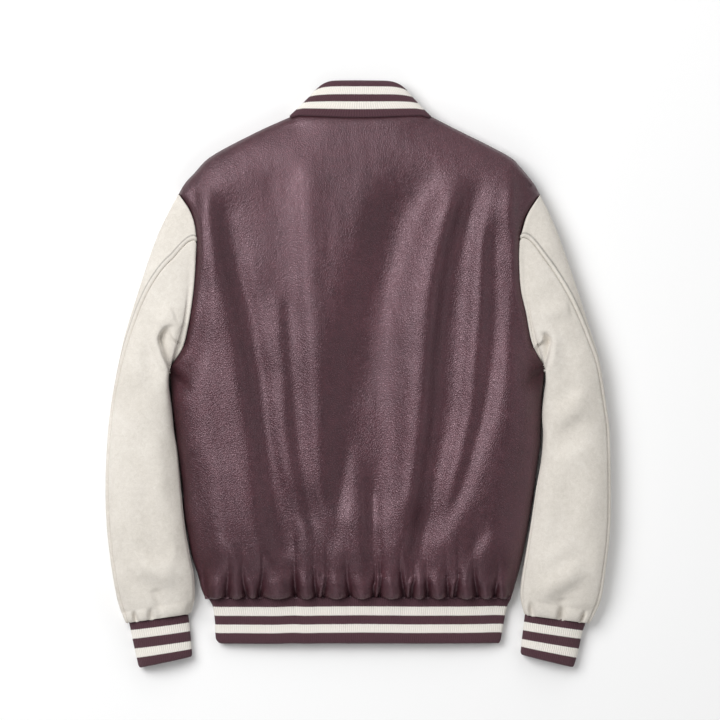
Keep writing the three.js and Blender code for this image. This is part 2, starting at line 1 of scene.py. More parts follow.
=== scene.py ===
import bpy, math
import numpy as np
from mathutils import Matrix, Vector


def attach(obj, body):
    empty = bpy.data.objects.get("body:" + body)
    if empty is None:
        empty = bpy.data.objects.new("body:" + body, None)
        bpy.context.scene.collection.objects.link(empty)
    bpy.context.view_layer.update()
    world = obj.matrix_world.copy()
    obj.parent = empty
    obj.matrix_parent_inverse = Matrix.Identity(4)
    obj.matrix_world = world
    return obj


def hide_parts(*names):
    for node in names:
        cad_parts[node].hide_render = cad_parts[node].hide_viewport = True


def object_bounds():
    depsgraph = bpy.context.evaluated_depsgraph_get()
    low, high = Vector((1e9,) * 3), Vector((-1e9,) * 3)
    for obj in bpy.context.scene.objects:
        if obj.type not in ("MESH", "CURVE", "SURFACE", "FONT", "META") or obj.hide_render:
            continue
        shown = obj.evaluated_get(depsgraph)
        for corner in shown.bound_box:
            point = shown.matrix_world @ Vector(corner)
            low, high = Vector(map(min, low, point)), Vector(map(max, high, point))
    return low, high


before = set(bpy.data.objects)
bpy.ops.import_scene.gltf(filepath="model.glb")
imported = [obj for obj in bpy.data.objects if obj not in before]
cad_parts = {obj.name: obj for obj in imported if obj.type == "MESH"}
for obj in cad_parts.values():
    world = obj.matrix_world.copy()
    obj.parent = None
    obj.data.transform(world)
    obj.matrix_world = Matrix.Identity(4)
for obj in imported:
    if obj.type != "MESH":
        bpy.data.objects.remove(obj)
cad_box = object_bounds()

# Varsity jacket lying on its front. Tables are in millimetres; meshes are written in metres.
# x runs to the wearer's right sleeve, y to the collar, z up from the surface it lies on.

# ------------------------------------------------------------------ tables
LEATHER, WOOL, RIB = 1.6, 2.2, 3.0       # cloth walls
# Body edges up the side seam, left and right: y, x
SIDE_L = [(-291, -199), (-283, -203), (-275, -205.5), (-264, -208), (-240, -216), (-210, -222), (-182, -227), (-150, -229), (-112, -234), (-93, -237), (-75, -238.5), (-57, -241), (-39, -243.5), (-21, -244), (-2, -245.5), (6, -246.5)]
SIDE_R = [(-291, 199), (-283, 202.5), (-275, 204.5), (-264, 208), (-240, 214), (-210, 220), (-182, 225), (-150, 230), (-112, 235), (-93, 238), (-75, 238.5), (-57, 239.5), (-39, 240), (-21, 241), (-2, 242.5), (8, 244)]
# Armhole seams from the armpit up to the shoulder: x, y
ARM_L = [(-246.5, 6), (-236, 20), (-226.5, 36), (-219.7, 63.7), (-215.1, 91), (-211.9, 118), (-209.3, 161), (-209.3, 178), (-212, 196.3), (-218, 212), (-226.6, 225.4), (-233.5, 234)]
ARM_R = [(244, 8), (234, 23.4), (224.9, 43), (218, 78), (211, 109), (208.5, 145.6), (209.3, 169.6), (213.2, 187), (219.7, 206.7), (230, 223.6), (237, 233)]
# Shoulder lines from the armhole to the neck: x, y
SHO_L = [(-233.5, 234), (-225, 248.3), (-212.5, 262), (-199, 277), (-183.3, 288), (-157.3, 302), (-122.2, 319.4), (-89, 334.1)]
SHO_R = [(237, 233), (228.5, 248), (213, 267.2), (200.7, 280.3), (167.7, 298.5), (132.6, 315.9), (94.5, 335.4)]
# Sleeves, ring by ring down the sleeve: outer edge, inner edge, height, height of both edges, bow up the sleeve
SLV_L = [(-233.5, 234, -246.5, 6, 46, 22, 18, 0), (-253, 197.6, -247, -1, 48, 21, 20, 25), (-267, 163.8, -246.5, -10, 50, 20, 23, 22), (-286, 106.6, -246, -19, 51, 20, 25, 17),
         (-303, 51.2, -242.8, -42, 51, 20, 25, 12), (-314, 2, -241.3, -56, 50, 20, 25, 8), (-322, -46, -239.6, -74, 49, 20, 25, 5), (-326.5, -93.6, -235, -102, 48, 20, 24, 3),
         (-328.5, -148, -230.5, -150, 48, 20, 23, 1), (-326.5, -203, -225, -200, 47, 20, 22, 0), (-320, -257, -218, -240, 46, 20, 21, 0), (-314, -290, -213.5, -262, 43, 18, 18, 0),
         (-308.5, -309, -213, -292, 37, 15, 15, 0), (-302, -319.5, -218, -307.5, 29, 12, 12, 0)]
SLV_R = [(237, 233, 244, 8, 46, 22, 18, 0), (253, 200, 244.5, 0, 48, 21, 20, 25), (268, 161, 245, -8, 50, 20, 23, 22), (287, 105, 243, -20, 51, 20, 25, 17),
         (304, 52, 240.5, -40, 51, 20, 25, 12), (314.6, 15.6, 239.8, -57, 50, 20, 25, 8), (323, -39, 241, -80, 49, 20, 25, 5), (327.5, -78, 238.5, -113, 48, 20, 24, 3),
         (329, -150, 232, -149, 48, 20, 23, 1), (328, -205, 224.5, -198, 47, 20, 22, 0), (322, -258, 217, -242, 46, 20, 21, 0), (317, -290, 212.5, -270, 43, 18, 18, 0),
         (310.5, -308, 211.5, -292, 37, 15, 15, 0), (301, -320, 216.5, -309, 29, 12, 12, 0)]
# Where the sleeves' two seams lie on each ring: ring, back seam, front seam (0 outer edge, 1 inner edge, 2 outer edge)
SEAM_L = [(0, 0.36, 1.2), (1, 0.315, 1.16), (2, 0.27, 1.12), (3, 0.2, 1.08), (4, 0.165, 1.04), (6, 0.12, 1.0), (9, 0.12, 0.95), (13, 0.14, 0.93)]
SEAM_R = [(0, 0.35, 1.2), (1, 0.31, 1.16), (2, 0.275, 1.12), (3, 0.215, 1.08), (4, 0.17, 1.04), (6, 0.13, 1.0), (9, 0.12, 0.93), (13, 0.13, 0.9)]
# Cuffs: outer edge, inner edge, height, edge heights
CUF_L = [(-298, -323.2, -221.5, -313.6, 25, 10, 10), (-294.5, -341, -219.6, -331, 24, 10, 10), (-290, -362, -217.9, -352, 23.5, 10, 10), (-285.5, -382, -216.5, -367.4, 23, 10, 10)]
CUF_R = [(295, -324.4, 217.9, -312, 25, 10, 10), (291, -341, 215.8, -330, 24, 10, 10), (286.5, -362, 213.5, -349, 23.5, 10, 10), (280.8, -381.4, 212, -364.6, 23, 10, 10)]
# Waistband: y, left x, right x, height
BAND = [(-291.6, -195, 199.5, 22), (-303, -189, 194, 21.5), (-325, -186, 189.5, 21), (-345, -185, 186, 21), (-350.5, -182, 184.5, 20)]
HEM_Y = -291
NECK_X, NECK_Y, NECK_BACK, NECK_FRONT = 91.0, 335.0, 333.5, 254.0
PLACKET, CAP_PROUD, GAP = 17.0, 1.7, 0.35

# Folds of the back as slopes. Each: points (x, y) down it, rise from its left to its right (minus falls), half breadth.
FOLDS = [
    ([(-204, 270), (-206, 230), (-206, 180), (-206, 105)], 3.4, 9),
    ([(-196, 250), (-188, 225), (-179, 174), (-160, 90), (-144, 5), (-131, -92), (-121, -177), (-111, -242), (-105, -274)], -10.5, 15),
    ([(-156, 175), (-147, 135), (-131, 70), (-118, -8), (-111, -73), (-100, -130), (-92, -172)], 3.0, 10),
    ([(-100, 120), (-92, 5), (-85, -92), (-69, -177), (-54, -238)], -3.4, 8),
    ([(-72, 290), (-78, 233), (-76, 168), (-73, 103), (-68, 38), (-65, -34), (-60, -99), (-54, -164), (-44, -226)], 4.8, 13),
    ([(-100, 304), (-100, 240), (-98, 160), (-94, 60), (-88, -40)], 2.8, 20),
    ([(-84, -178), (-79, -203), (-81, -230), (-84, -254)], 3.6, 9),
    ([(42, 268), (26, 200), (9, 135), (-10, 70), (-23, 5), (-33, -60), (-40, -125), (-44, -190)], -8.0, 26),
    ([(120, 276), (96, 220), (76, 174), (61, 122), (53, 57), (53, -8), (55, -73), (51, -138), (45, -205)], 10.0, 25),
    ([(-6, -78), (-13, -130), (-17, -170), (-22, -215), (-29, -254)], 3.8, 10),
    ([(9, -112), (10, -150), (12, -222), (8, -270)], -4.8, 8),
    ([(30, -130), (27, -180), (27, -230), (25, -262)], 3.0, 8),
    ([(143, 258), (124, 192), (111, 135), (103, 70), (97, 5), (93, -60), (84, -125), (74, -190), (67, -242), (63, -270)], -10.5, 13),
    ([(178, 268), (164, 228), (154, 187), (149, 135), (145, 70), (139, 5), (133, -60), (120, -112), (107, -164), (92, -225), (86, -258)], 5.2, 13),
    ([(172, 210), (168, 168), (165, 70), (162, 5), (152, -60), (136, -125), (113, -190)], -3.8, 9),
    ([(197, 268), (192, 200), (191, 135), (190, 70), (181, 5), (172, -47), (155, -99), (139, -151), (120, -196), (103, -234)], 4.6, 12),
    ([(206, 286), (204, 240), (206, 190), (212, 130)], -5.2, 8),
    ([(180, -188), (152, -235), (132, -270)], 4.0, 10),
    ([(-180, -198), (-154, -235), (-136, -274)], -4.8, 9),
    ([(-197, -90), (-193, -160), (-186, -215), (-170, -264)], 3.0, 15),
    ([(238, -10), (216, -70), (197, -140), (180, -215)], -6.0, 21),
]
# Pleats gathered at the hem: x, depth, reach up the cloth
PLEATS = [(-171, 1.6, 10), (-145, 4.6, 18), (-129, 5.4, 24), (-81, 6.6, 30), (-53, 6.4, 24), (-46, 3.0, 12), (-10.5, 5.6, 22), (21, 5.8, 26), (26.5, 3.6, 14), (61, 6.6, 30), (68.5, 4.6, 18),
          (91, 5.4, 20), (118, 5.8, 26), (125.5, 4.4, 16), (156, 5.4, 22), (178, 5.0, 18)]
# Folds of the sleeves, seen from the back: as slopes, or (four values) as ridges and troughs
FOLDS_SL = [
    ([(-262, 64), (-252, 74), (-238, 80)], 3.0, 10, 0),
    ([(-280, 56), (-278, 20), (-268, -24)], -4.4, 9), ([(-252, 60), (-240, 66), (-228, 60)], 2.0, 8, 0),
    ([(-256, -60), (-250, -120), (-240, -190)], -3.6, 10), ([(-300, -50), (-294, -110), (-284, -180)], -2.6, 14),
    ([(-296, -222), (-274, -240), (-244, -248), (-226, -246)], -4.6, 10), ([(-300, -250), (-274, -264), (-246, -274), (-224, -276)], 4.4, 9),
    ([(-304, -196), (-294, -226), (-290, -262)], 2.6, 9), ([(-312, -240), (-302, -266), (-292, -292)], -2.4, 8),
    ([(-246, -190), (-236, -222), (-226, -258)], -2.6, 9), ([(-264, -278), (-259, -296), (-255, -314)], -3.6, 6, 0),
    ([(-304, 60), (-310, 0), (-308, -70)], -2.0, 14), ([(-236, 160), (-250, 124), (-266, 84)], -2.2, 13),
]
FOLDS_SR = [
    ([(238, 74), (256, 82), (276, 86)], 3.0, 10, 0),
    ([(252, 50), (262, 22), (268, -14)], -4.4, 10), ([(300, 20), (304, -40), (306, -100)], -2.4, 15),
    ([(250, -62), (272, -36), (304, -10)], -4.6, 9), ([(250, -84), (276, -62), (310, -44)], 4.2, 9),
    ([(244, -60), (250, -84), (250, -110)], -3.0, 8), ([(250, -116), (276, -100), (306, -84)], -3.4, 9),
    ([(284, -120), (288, -170), (284, -220)], 2.2, 14), ([(258, -130), (258, -180), (248, -230)], -2.2, 12),
    ([(222, -282), (248, -266), (272, -250), (300, -232)], -4.4, 9), ([(226, -306), (254, -288), (280, -272), (308, -256)], 4.6, 8),
    ([(296, -214), (304, -240), (306, -266)], 2.6, 9), ([(238, -230), (254, -226), (276, -216)], -2.6, 9),
    ([(264, -290), (266, -304), (267, -318)], -3.6, 6, 0), ([(234, 160), (248, 130), (264, 96)], -2.2, 13),
]
# The fold turned under at each armpit: its line, depth (its sign gives the hollow side), how sharply it drops, how far it reaches
POCKET = {-1: ([(-234, 66), (-250, 62), (-259.5, 48), (-256, 30), (-247, 7)], 15.0, 3.0, 17), 1: ([(232, 54), (244, 54), (251.5, 45), (249, 28), (244.5, 9)], -14.0, 3.0, 14)}
# Tucks where the sleeve ends gather on the cuffs: share across from the outer edge, breadth
ENDS = {-1: [(0.17, 0.035), (0.4, 0.05), (0.97, 0.05)], 1: [(0.15, 0.03), (0.454, 0.045), (0.87, 0.045)]}
# The hidden fronts lie on the surface: shallow troughs only
FOLDS_FRONT = [([(-150, 220), (-130, 100), (-120, -40), (-96, -250)], 2.4, 9, 0), ([(-80, 150), (-72, 20), (-60, -120)], 1.8, 8, 0), ([(-190, 30), (-170, -60), (-140, -200)], 2.2, 9, 0),
               ([(140, 230), (118, 110), (110, -30), (84, -240)], 2.4, 9, 0), ([(78, 170), (70, 10), (66, -150)], 1.8, 8, 0), ([(196, 20), (176, -80), (150, -220)], 2.2, 9, 0),
               ([(-110, -170), (-104, -230), (-100, -280)], 2, 6, 0), ([(120, -180), (112, -236), (104, -280)], 2, 6, 0)]


# ------------------------------------------------------------------ numbers
def smooth(x):
    x = np.clip(x, 0, 1)
    return x * x * (3 - 2 * x)


def dome(t):
    return np.sqrt(np.maximum(0, 1 - (1 - np.clip(t, 0, 1)) ** 2))


def hermite(k, v, x):
    """A smooth curve through the values v at the keys k (either direction), read at x."""
    k, v, x = np.asarray(k, float), np.asarray(v, float), np.asarray(x, float)
    if k[-1] < k[0]:
        k, v = k[::-1], v[::-1]
    d = np.diff(v) / np.diff(k)
    m = np.concatenate([[d[0]], (v[2:] - v[:-2]) / (k[2:] - k[:-2]), [d[-1]]])
    x = np.clip(x, k[0], k[-1])
    i = np.clip(np.searchsorted(k, x, side="right") - 1, 0, len(k) - 2)
    h = k[i + 1] - k[i]
    t = (x - k[i]) / h
    t2, t3 = t * t, t * t * t
    return (2 * t3 - 3 * t2 + 1) * v[i] + (t3 - 2 * t2 + t) * h * m[i] + (3 * t2 - 2 * t3) * v[i + 1] + (t3 - t2) * h * m[i + 1]


class Path:
    """A smooth curve through points, read by its share of length."""
    def __init__(self, pts):
        p = np.asarray(pts, float)
        s = np.concatenate([[0], np.cumsum(np.linalg.norm(np.diff(p, axis=0), axis=1))])
        self.s, self.p, self.length = s / s[-1], p, s[-1]

    def at(self, t):
        return np.stack([hermite(self.s, self.p[:, i], t) for i in range(self.p.shape[1])], -1)


def hash2(ix, iy, seed):
    h = (ix.astype(np.int64) * 374761393 + iy.astype(np.int64) * 668265263 + seed * 2147483647) & 0xFFFFFFFF
    h = ((h ^ (h >> 13)) * 1274126177) & 0xFFFFFFFF
    return ((h ^ (h >> 16)) & 0xFFFF) / 65535.0 * 2 - 1


def noise(x, y, seed=1):
    """Smooth value noise, -1 to 1, one cell a unit."""
    ix, iy = np.floor(x), np.floor(y)
    fx, fy = x - ix, y - iy
    fx, fy = fx * fx * fx * (fx * (fx * 6 - 15) + 10), fy * fy * fy * (fy * (fy * 6 - 15) + 10)
    a, b, c, d = (hash2(ix + i, iy + j, seed) for j in (0, 1) for i in (0, 1))
    return (a * (1 - fx) + b * fx) * (1 - fy) + (c * (1 - fx) + d * fx) * fy


def folds(x, y, table):
    """Height of the listed folds at x, y: a trough or ridge along each row's line, fading at its ends."""
    z = np.zeros_like(x)
    for pts, up, wide, *hard in table:
        flank = not hard
        hard = hard[0] if hard else 0
        path = Path(pts)
        n = max(12, int(path.length / 5))
        p = path.at(np.linspace(0, 1, n))
        lo, hi = p.min(0) - 7 * wide, p.max(0) + 7 * wide
        m = (x > lo[0]) & (x < hi[0]) & (y > lo[1]) & (y < hi[1])
        if not m.any():
            continue
        q = np.stack([x[m], y[m]], -1)
        best, along, signed = np.full(len(q), 1e9), np.zeros(len(q)), np.zeros(len(q))
        for i in range(n - 1):
            a, d = p[i], p[i + 1] - p[i]
            L = np.linalg.norm(d)
            w = q - a
            t = np.clip((w @ d) / L ** 2, 0, 1)
            r = w - t[:, None] * d
            dist = np.linalg.norm(r, axis=1)
            sel = dist < best
            best[sel], along[sel] = dist[sel], (i + t[sel]) / (n - 1)
            signed[sel] = np.sign(d[0] * r[sel, 1] - d[1] * r[sel, 0]) * dist[sel]
        wig = 1 + 0.08 * noise(along * path.length / 50 + up, along * 0 + wide, 7)
        side = np.where(signed > 0, 1 - 0.45 * hard, 1 + 0.45 * hard)
        if flank:
            # rises across its line, then dies away on both sides
            k = signed / (wide * wig)
            body = np.tanh(k * 1.1) * np.exp(-(k / 2.6) ** 2) * 0.8
            fade = min(48, 0.42 * path.length)
            end = smooth(along * path.length / fade) * smooth((1 - along) * path.length / fade)
        else:
            body = np.exp(-(best / (wide * wig * side)) ** 2)
            end = smooth(along / 0.2 + 0.12) * smooth((1 - along) / 0.16 + 0.12)
        z[m] += up * wig * body * end
    return z


def pocket(x, y, pts, depth, sharp, reach):
    """A fold turned under along a hooked line: the cloth drops off the line to its hollow side and climbs back over the reach."""
    path = Path(pts)
    n = 40
    p = path.at(np.linspace(0, 1, n))
    best, along, signed = np.full(x.shape, 1e9), np.zeros(x.shape), np.zeros(x.shape)
    for i in range(n - 1):
        a, d = p[i], p[i + 1] - p[i]
        t = np.clip(((x - a[0]) * d[0] + (y - a[1]) * d[1]) / (d @ d), 0, 1)
        rx, ry = x - a[0] - t * d[0], y - a[1] - t * d[1]
        r = np.hypot(rx, ry)
        m = r < best
        best[m], along[m], signed[m] = r[m], (i + t[m]) / (n - 1), (np.sign(d[0] * ry - d[1] * rx) * r)[m]
    s = signed * np.sign(depth)
    end = smooth(along / 0.45) * smooth((1 - along) / 0.05 + 0.4)
    return end * np.where(s > 0, -abs(depth) * smooth(s / sharp) * np.exp(-(np.maximum(s, 0) / reach) ** 1.6), 1.6 * np.exp(-((s + 5) / 5) ** 2))


# ------------------------------------------------------------------ meshes
def normals(g, loop=False):
    """Unit normals of a grid of points [i, j], du x dv."""
    if loop:
        du = np.roll(g, -1, 0) - np.roll(g, 1, 0)
    else:
        du = np.gradient(g, axis=0)
    n = np.cross(du, np.gradient(g, axis=1))
    return n / np.maximum(np.linalg.norm(n, axis=-1, keepdims=True), 1e-9)


def lengths(g, axis):
    d = np.linalg.norm(np.diff(g, axis=axis), axis=-1)
    z = np.zeros_like(np.take(d, [0], axis=axis))
    return np.cumsum(np.concatenate([z, d], axis=axis), axis=axis)


def shell(name, g, out, thick, mat, uv, loop=False, relief=None, inner_step=1, extra=None, normal=None):
    """A cloth wall: outer face g [i, j], out +1 or -1 for the side that faces out, rounded free edges, inner face thick inside."""
    n = (normals(g, loop) if normal is None else normal) * out
    if relief is not None:
        o = g + n * relief[..., None]
    else:
        o = g
    inner = g - n * thick
    nu, nv = g.shape[:2]
    # rounded edges: points halfway through the wall, pushed out along the cloth
    def lip(edge, nxt, a, b):
        t = edge - nxt
        t = t / np.maximum(np.linalg.norm(t, axis=-1, keepdims=True), 1e-9)
        return (a + b) / 2 + t * thick * 0.35
    v0, v1 = lip(g[:, 0], g[:, 1], o[:, 0], inner[:, 0]), lip(g[:, -1], g[:, -2], o[:, -1], inner[:, -1])
    # section round the wall for each column: outer 0..nv-1, lip v1, inner nv-1..0, lip v0
    ring = np.concatenate([o, v1[:, None], inner[:, ::-1], v0[:, None]], axis=1)
    ring[..., 2] = np.maximum(ring[..., 2], 0)   # nothing reaches below the surface it lies on
    m = ring.shape[1]
    uvr = np.concatenate([uv, uv[:, -1:], uv[:, ::-1], uv[:, :1]], axis=1)
    I = np.arange(nu)[:, None] * m + np.arange(m)[None, :]
    A, B = (I, np.roll(I, -1, 0)) if loop else (I[:-1], I[1:])
    q = np.stack([A, B, np.roll(B, -1, 1), np.roll(A, -1, 1)], -1).reshape(-1, 4)
    if out < 0:
        q = q[:, ::-1]
    verts, uvs = ring.reshape(-1, 3), uvr.reshape(-1, 2)
    if not loop:
        # close both ends between outer and inner rows
        caps = []
        for i, flip in ((0, True), (nu - 1, False)):
            r = I[i]
            for j in range(nv - 1):
                a, b, c, d = r[j], r[j + 1], r[2 * nv - j - 1], r[2 * nv - j]
                f = [a, d, c, b] if not flip else [a, b, c, d]
                caps.append(f if out > 0 else f[::-1])
            t1 = [r[nv - 1], r[nv + 1], r[nv]]
            t0 = [r[0], r[2 * nv + 1], r[2 * nv]]
            for t, fl in ((t1, flip), (t0, flip)):
                t = t if not fl else t[::-1]
                caps.append((t if out > 0 else t[::-1]) + [-1])
        tris = [c[:3] for c in caps if c[3] == -1]
        quads = [c for c in caps if c[3] != -1]
        faces = q.tolist() + quads + tris
    else:
        faces = q.tolist()
    me = bpy.data.meshes.new(name)
    me.from_pydata((verts / 1000.0).tolist(), [], faces)
    lay = me.uv_layers.new(name="UVMap")
    idx = np.empty(len(me.loops), np.int32)
    me.loops.foreach_get("vertex_index", idx)
    lay.data.foreach_set("uv", uvs[idx].astype(np.float32).ravel())
    for key, val in (extra or {}).items():
        v = np.concatenate([val, val[:, -1:], val[:, ::-1], val[:, :1]], axis=1).reshape(-1)
        at = me.attributes.new(key, "FLOAT", "POINT")
        at.data.foreach_set("value", v.astype(np.float32))
    me.polygons.foreach_set("use_smooth", [True] * len(me.polygons))
    me.materials.append(mat)
    me.update()
    ob = bpy.data.objects.new(name, me)
    bpy.context.scene.collection.objects.link(ob)
    return ob, o


# ------------------------------------------------------------------ materials
def nodes_of(name):
    m = bpy.data.materials.new(name)
    m.use_nodes = True
    t = m.node_tree
    t.nodes.clear()
    out = t.nodes.new("ShaderNodeOutputMaterial")
    b = t.nodes.new("ShaderNodeBsdfPrincipled")
    t.links.new(b.outputs[0], out.inputs[0])

    def N(kind, **kw):
        n = t.nodes.new("ShaderNode" + kind)
        for k, v in kw.items():
            if k.startswith("_"):
                n.inputs[k[1:].replace("_", " ")].default_value = v
            else:
                setattr(n, k, v)
        return n

    def L(a, b_):
        t.links.new(a, b_)
    return m, t, b, N, L


def ramp(n, stops):
    e = n.color_ramp.elements
    while len(e) > 1:
        e.remove(e[-1])
    e[0].position, e[0].color = stops[0][0], (*stops[0][1], 1)
    for p, c in stops[1:]:
        x = e.new(p)
        x.color = (*c, 1)


def math_(N, L, op, a, b=None, clamp=False):
    n = N("Math", operation=op, use_clamp=clamp)
    for i, v in enumerate((a, b)):
        if v is None:
            continue
        if isinstance(v, (int, float)):
            n.inputs[i].default_value = v
        else:
            L(v, n.inputs[i])
    return n.outputs[0]


def lin(r, g, b):
    f = lambda c: (c / 255 / 12.92) if c / 255 <= 0.04045 else ((c / 255 + 0.055) / 1.055) ** 2.4
    return (f(r), f(g), f(b))


def leather_material():
    m, t, b, N, L = nodes_of("leather")
    co = N("TexCoord").outputs["Object"]
    # mottling of the dye: faint clouds, small flecks between reddish and lavender
    big = N("TexNoise", _Scale=11.0, _Detail=3.0, _Roughness=0.5)
    L(co, big.inputs["Vector"])
    fleck = N("TexNoise", _Scale=520.0, _Detail=3.0, _Roughness=0.75)
    L(co, fleck.inputs["Vector"])
    hue = N("TexNoise", _Scale=310.0, _Detail=2.0, _Roughness=0.6)
    L(co, hue.inputs["Vector"])
    mid = N("TexNoise", _Scale=75.0, _Detail=3.0, _Roughness=0.6)
    L(co, mid.inputs["Vector"])
    # grain: pebbles about 1.5 mm across, their edges wandering
    warp = N("TexNoise", _Scale=260.0, _Detail=2.0)
    L(co, warp.inputs["Vector"])
    wv = N("VectorMath", operation="MULTIPLY_ADD")
    L(warp.outputs["Color"], wv.inputs[0])
    wv.inputs[1].default_value = (0.0022, 0.0022, 0.0022)
    L(co, wv.inputs[2])
    cell = N("TexVoronoi", feature="DISTANCE_TO_EDGE", _Scale=400.0)
    L(wv.outputs[0], cell.inputs["Vector"])
    cell2 = N("TexVoronoi", feature="F1", _Scale=800.0)
    L(wv.outputs[0], cell2.inputs["Vector"])
    edge = N("MapRange", _From_Min=0.0, _From_Max=0.30)
    L(cell.outputs["Distance"], edge.inputs["Value"])
    tot = math_(N, L, "ADD", math_(N, L, "MULTIPLY", big.outputs["Fac"], 0.30),
                math_(N, L, "ADD", math_(N, L, "MULTIPLY", mid.outputs["Fac"], 0.25), math_(N, L, "MULTIPLY", fleck.outputs["Fac"], 0.45)))
    cr = N("ValToRGB")
    ramp(cr, [(0.36, lin(41, 18, 23)), (0.5, lin(58, 27, 33)), (0.64, lin(77, 41, 48))])
    L(tot, cr.inputs["Fac"])
    tint = N("ValToRGB")
    ramp(tint, [(0.38, (1.08, 0.96, 0.96)), (0.62, (0.94, 1.0, 1.08))])
    L(hue.outputs["Fac"], tint.inputs["Fac"])
    mt = N("Mix", data_type="RGBA", blend_type="MULTIPLY")
    mt.inputs["Factor"].default_value = 1.0
    L(cr.outputs["Color"], mt.inputs[6])
    L(tint.outputs["Color"], mt.inputs[7])
    # painted shade: the base colour is darkened in the valleys between the pebbles, down to about half at their edges
    dark = N("Mix", data_type="RGBA", blend_type="MULTIPLY")
    dark.inputs["Factor"].default_value = 1.0
    pebble_valley_painted_shade = N("ValToRGB")
    ramp(pebble_valley_painted_shade, [(0.0, (0.54, 0.50, 0.51)), (0.6, (1.0, 1.0, 1.0))])
    L(edge.outputs[0], pebble_valley_painted_shade.inputs["Fac"])
    L(mt.outputs[2], dark.inputs[6])
    L(pebble_valley_painted_shade.outputs["Color"], dark.inputs[7])
    L(dark.outputs[2], b.inputs["Base Color"])
    # the pebbles' tops are rubbed smoother than the valleys between them
    rr = N("MapRange", _To_Min=0.46, _To_Max=0.33)
    L(edge.outputs[0], rr.inputs["Value"])
    rn = math_(N, L, "MULTIPLY_ADD", mid.outputs["Fac"], 0.14)
    L(math_(N, L, "SUBTRACT", rr.outputs[0], 0.07), rn.node.inputs[2])
    L(rn, b.inputs["Roughness"])
    b.inputs["Specular IOR Level"].default_value = 0.95
    b.inputs["Specular Tint"].default_value = (1.0, 0.70, 0.79, 1)
    b.inputs["IOR"].default_value = 1.54
    # bump: fine wrinkles, then grain
    wr = N("TexNoise", _Scale=60.0, _Detail=3.0, _Roughness=0.45)
    mp = N("Mapping")
    mp.inputs["Scale"].default_value = (1.8, 0.6, 1.8)
    L(co, mp.inputs["Vector"])
    L(mp.outputs[0], wr.inputs["Vector"])
    b1 = N("Bump", _Strength=0.5, _Distance=0.0007)
    L(wr.outputs["Fac"], b1.inputs["Height"])
    b2 = N("Bump", _Strength=1.0, _Distance=0.00018)
    hsum = math_(N, L, "ADD", edge.outputs[0], math_(N, L, "ADD", math_(N, L, "MULTIPLY", hue.outputs["Fac"], 1.0), math_(N, L, "MULTIPLY", cell2.outputs["Distance"], -0.5)))
    L(hsum, b2.inputs["Height"])
    L(b1.outputs[0], b2.inputs["Normal"])
    L(b2.outputs[0], b.inputs["Normal"])
    return m


def wool_material():
    m, t, b, N, L = nodes_of("wool")
    co = N("TexCoord").outputs["Object"]
    fuzz = N("TexNoise", _Scale=900.0, _Detail=6.0, _Roughness=0.75)
    L(co, fuzz.inputs["Vector"])
    clump = N("TexNoise", _Scale=170.0, _Detail=5.0, _Roughness=0.7, _Distortion=0.6)
    L(co, clump.inputs["Vector"])
    broad = N("TexNoise", _Scale=14.0, _Detail=3.0)
    L(co, broad.inputs["Vector"])
    tot = math_(N, L, "ADD", math_(N, L, "MULTIPLY", fuzz.outputs["Fac"], 0.4), math_(N, L, "ADD", math_(N, L, "MULTIPLY", clump.outputs["Fac"], 0.35), math_(N, L, "MULTIPLY", broad.outputs["Fac"], 0.25)))
    cr = N("ValToRGB")
    ramp(cr, [(0.36, lin(204, 198, 188)), (0.5, lin(218, 212, 203)), (0.64, lin(230, 225, 217))])
    L(tot, cr.inputs["Fac"])
    # topstitch 6 mm beside the back seam: a pressed line with short stitches standing in it, the line also darkened in
    # the base colour as painted shade
    off = N("Attribute", attribute_name="seam").outputs["Fac"]
    run = N("Attribute", attribute_name="run").outputs["Fac"]
    away = math_(N, L, "ABSOLUTE", math_(N, L, "SUBTRACT", off, 0.0062))
    line = N("MapRange", _From_Min=0.0006, _From_Max=0.0019, _To_Min=1.0, _To_Max=0.0)
    L(away, line.inputs["Value"])
    dash = N("MapRange", _From_Min=0.08, _From_Max=0.2)
    L(math_(N, L, "PINGPONG", math_(N, L, "MULTIPLY", run, 1000 / 3.6), 0.5), dash.inputs["Value"])
    thin = N("MapRange", _From_Min=0.0002, _From_Max=0.0006, _To_Min=1.0, _To_Max=0.0)
    L(away, thin.inputs["Value"])
    stitch = math_(N, L, "MULTIPLY", thin.outputs[0], dash.outputs[0])
    # painted shade: the base colour is darkened by up to a quarter along the pressed line
    stitch_line_painted_shade = math_(N, L, "SUBTRACT", 1.0, math_(N, L, "MULTIPLY", line.outputs[0], 0.24))
    cp = N("CombineColor")
    for i in range(3):
        L(stitch_line_painted_shade, cp.inputs[i])
    mul = N("Mix", data_type="RGBA", blend_type="MULTIPLY")
    mul.inputs["Factor"].default_value = 1.0
    L(cr.outputs["Color"], mul.inputs[6])
    L(cp.outputs[0], mul.inputs[7])
    L(mul.outputs[2], b.inputs["Base Color"])
    b.inputs["Roughness"].default_value = 0.95
    b.inputs["Sheen Weight"].default_value = 0.12
    b.inputs["Sheen Roughness"].default_value = 0.5
    b.inputs["Specular IOR Level"].default_value = 0.2
    b1 = N("Bump", _Strength=0.6, _Distance=0.0006)
    L(clump.outputs["Fac"], b1.inputs["Height"])
    b2 = N("Bump", _Strength=0.5, _Distance=0.0003)
    L(fuzz.outputs["Fac"], b2.inputs["Height"])
    L(b1.outputs[0], b2.inputs["Normal"])
    b3 = N("Bump", _Strength=1.0, _Distance=0.0005)
    L(math_(N, L, "SUBTRACT", math_(N, L, "MULTIPLY", stitch, 1.2), line.outputs[0]), b3.inputs["Height"])
    L(b2.outputs[0], b3.inputs["Normal"])
    L(b3.outputs[0], b.inputs["Normal"])
    return m


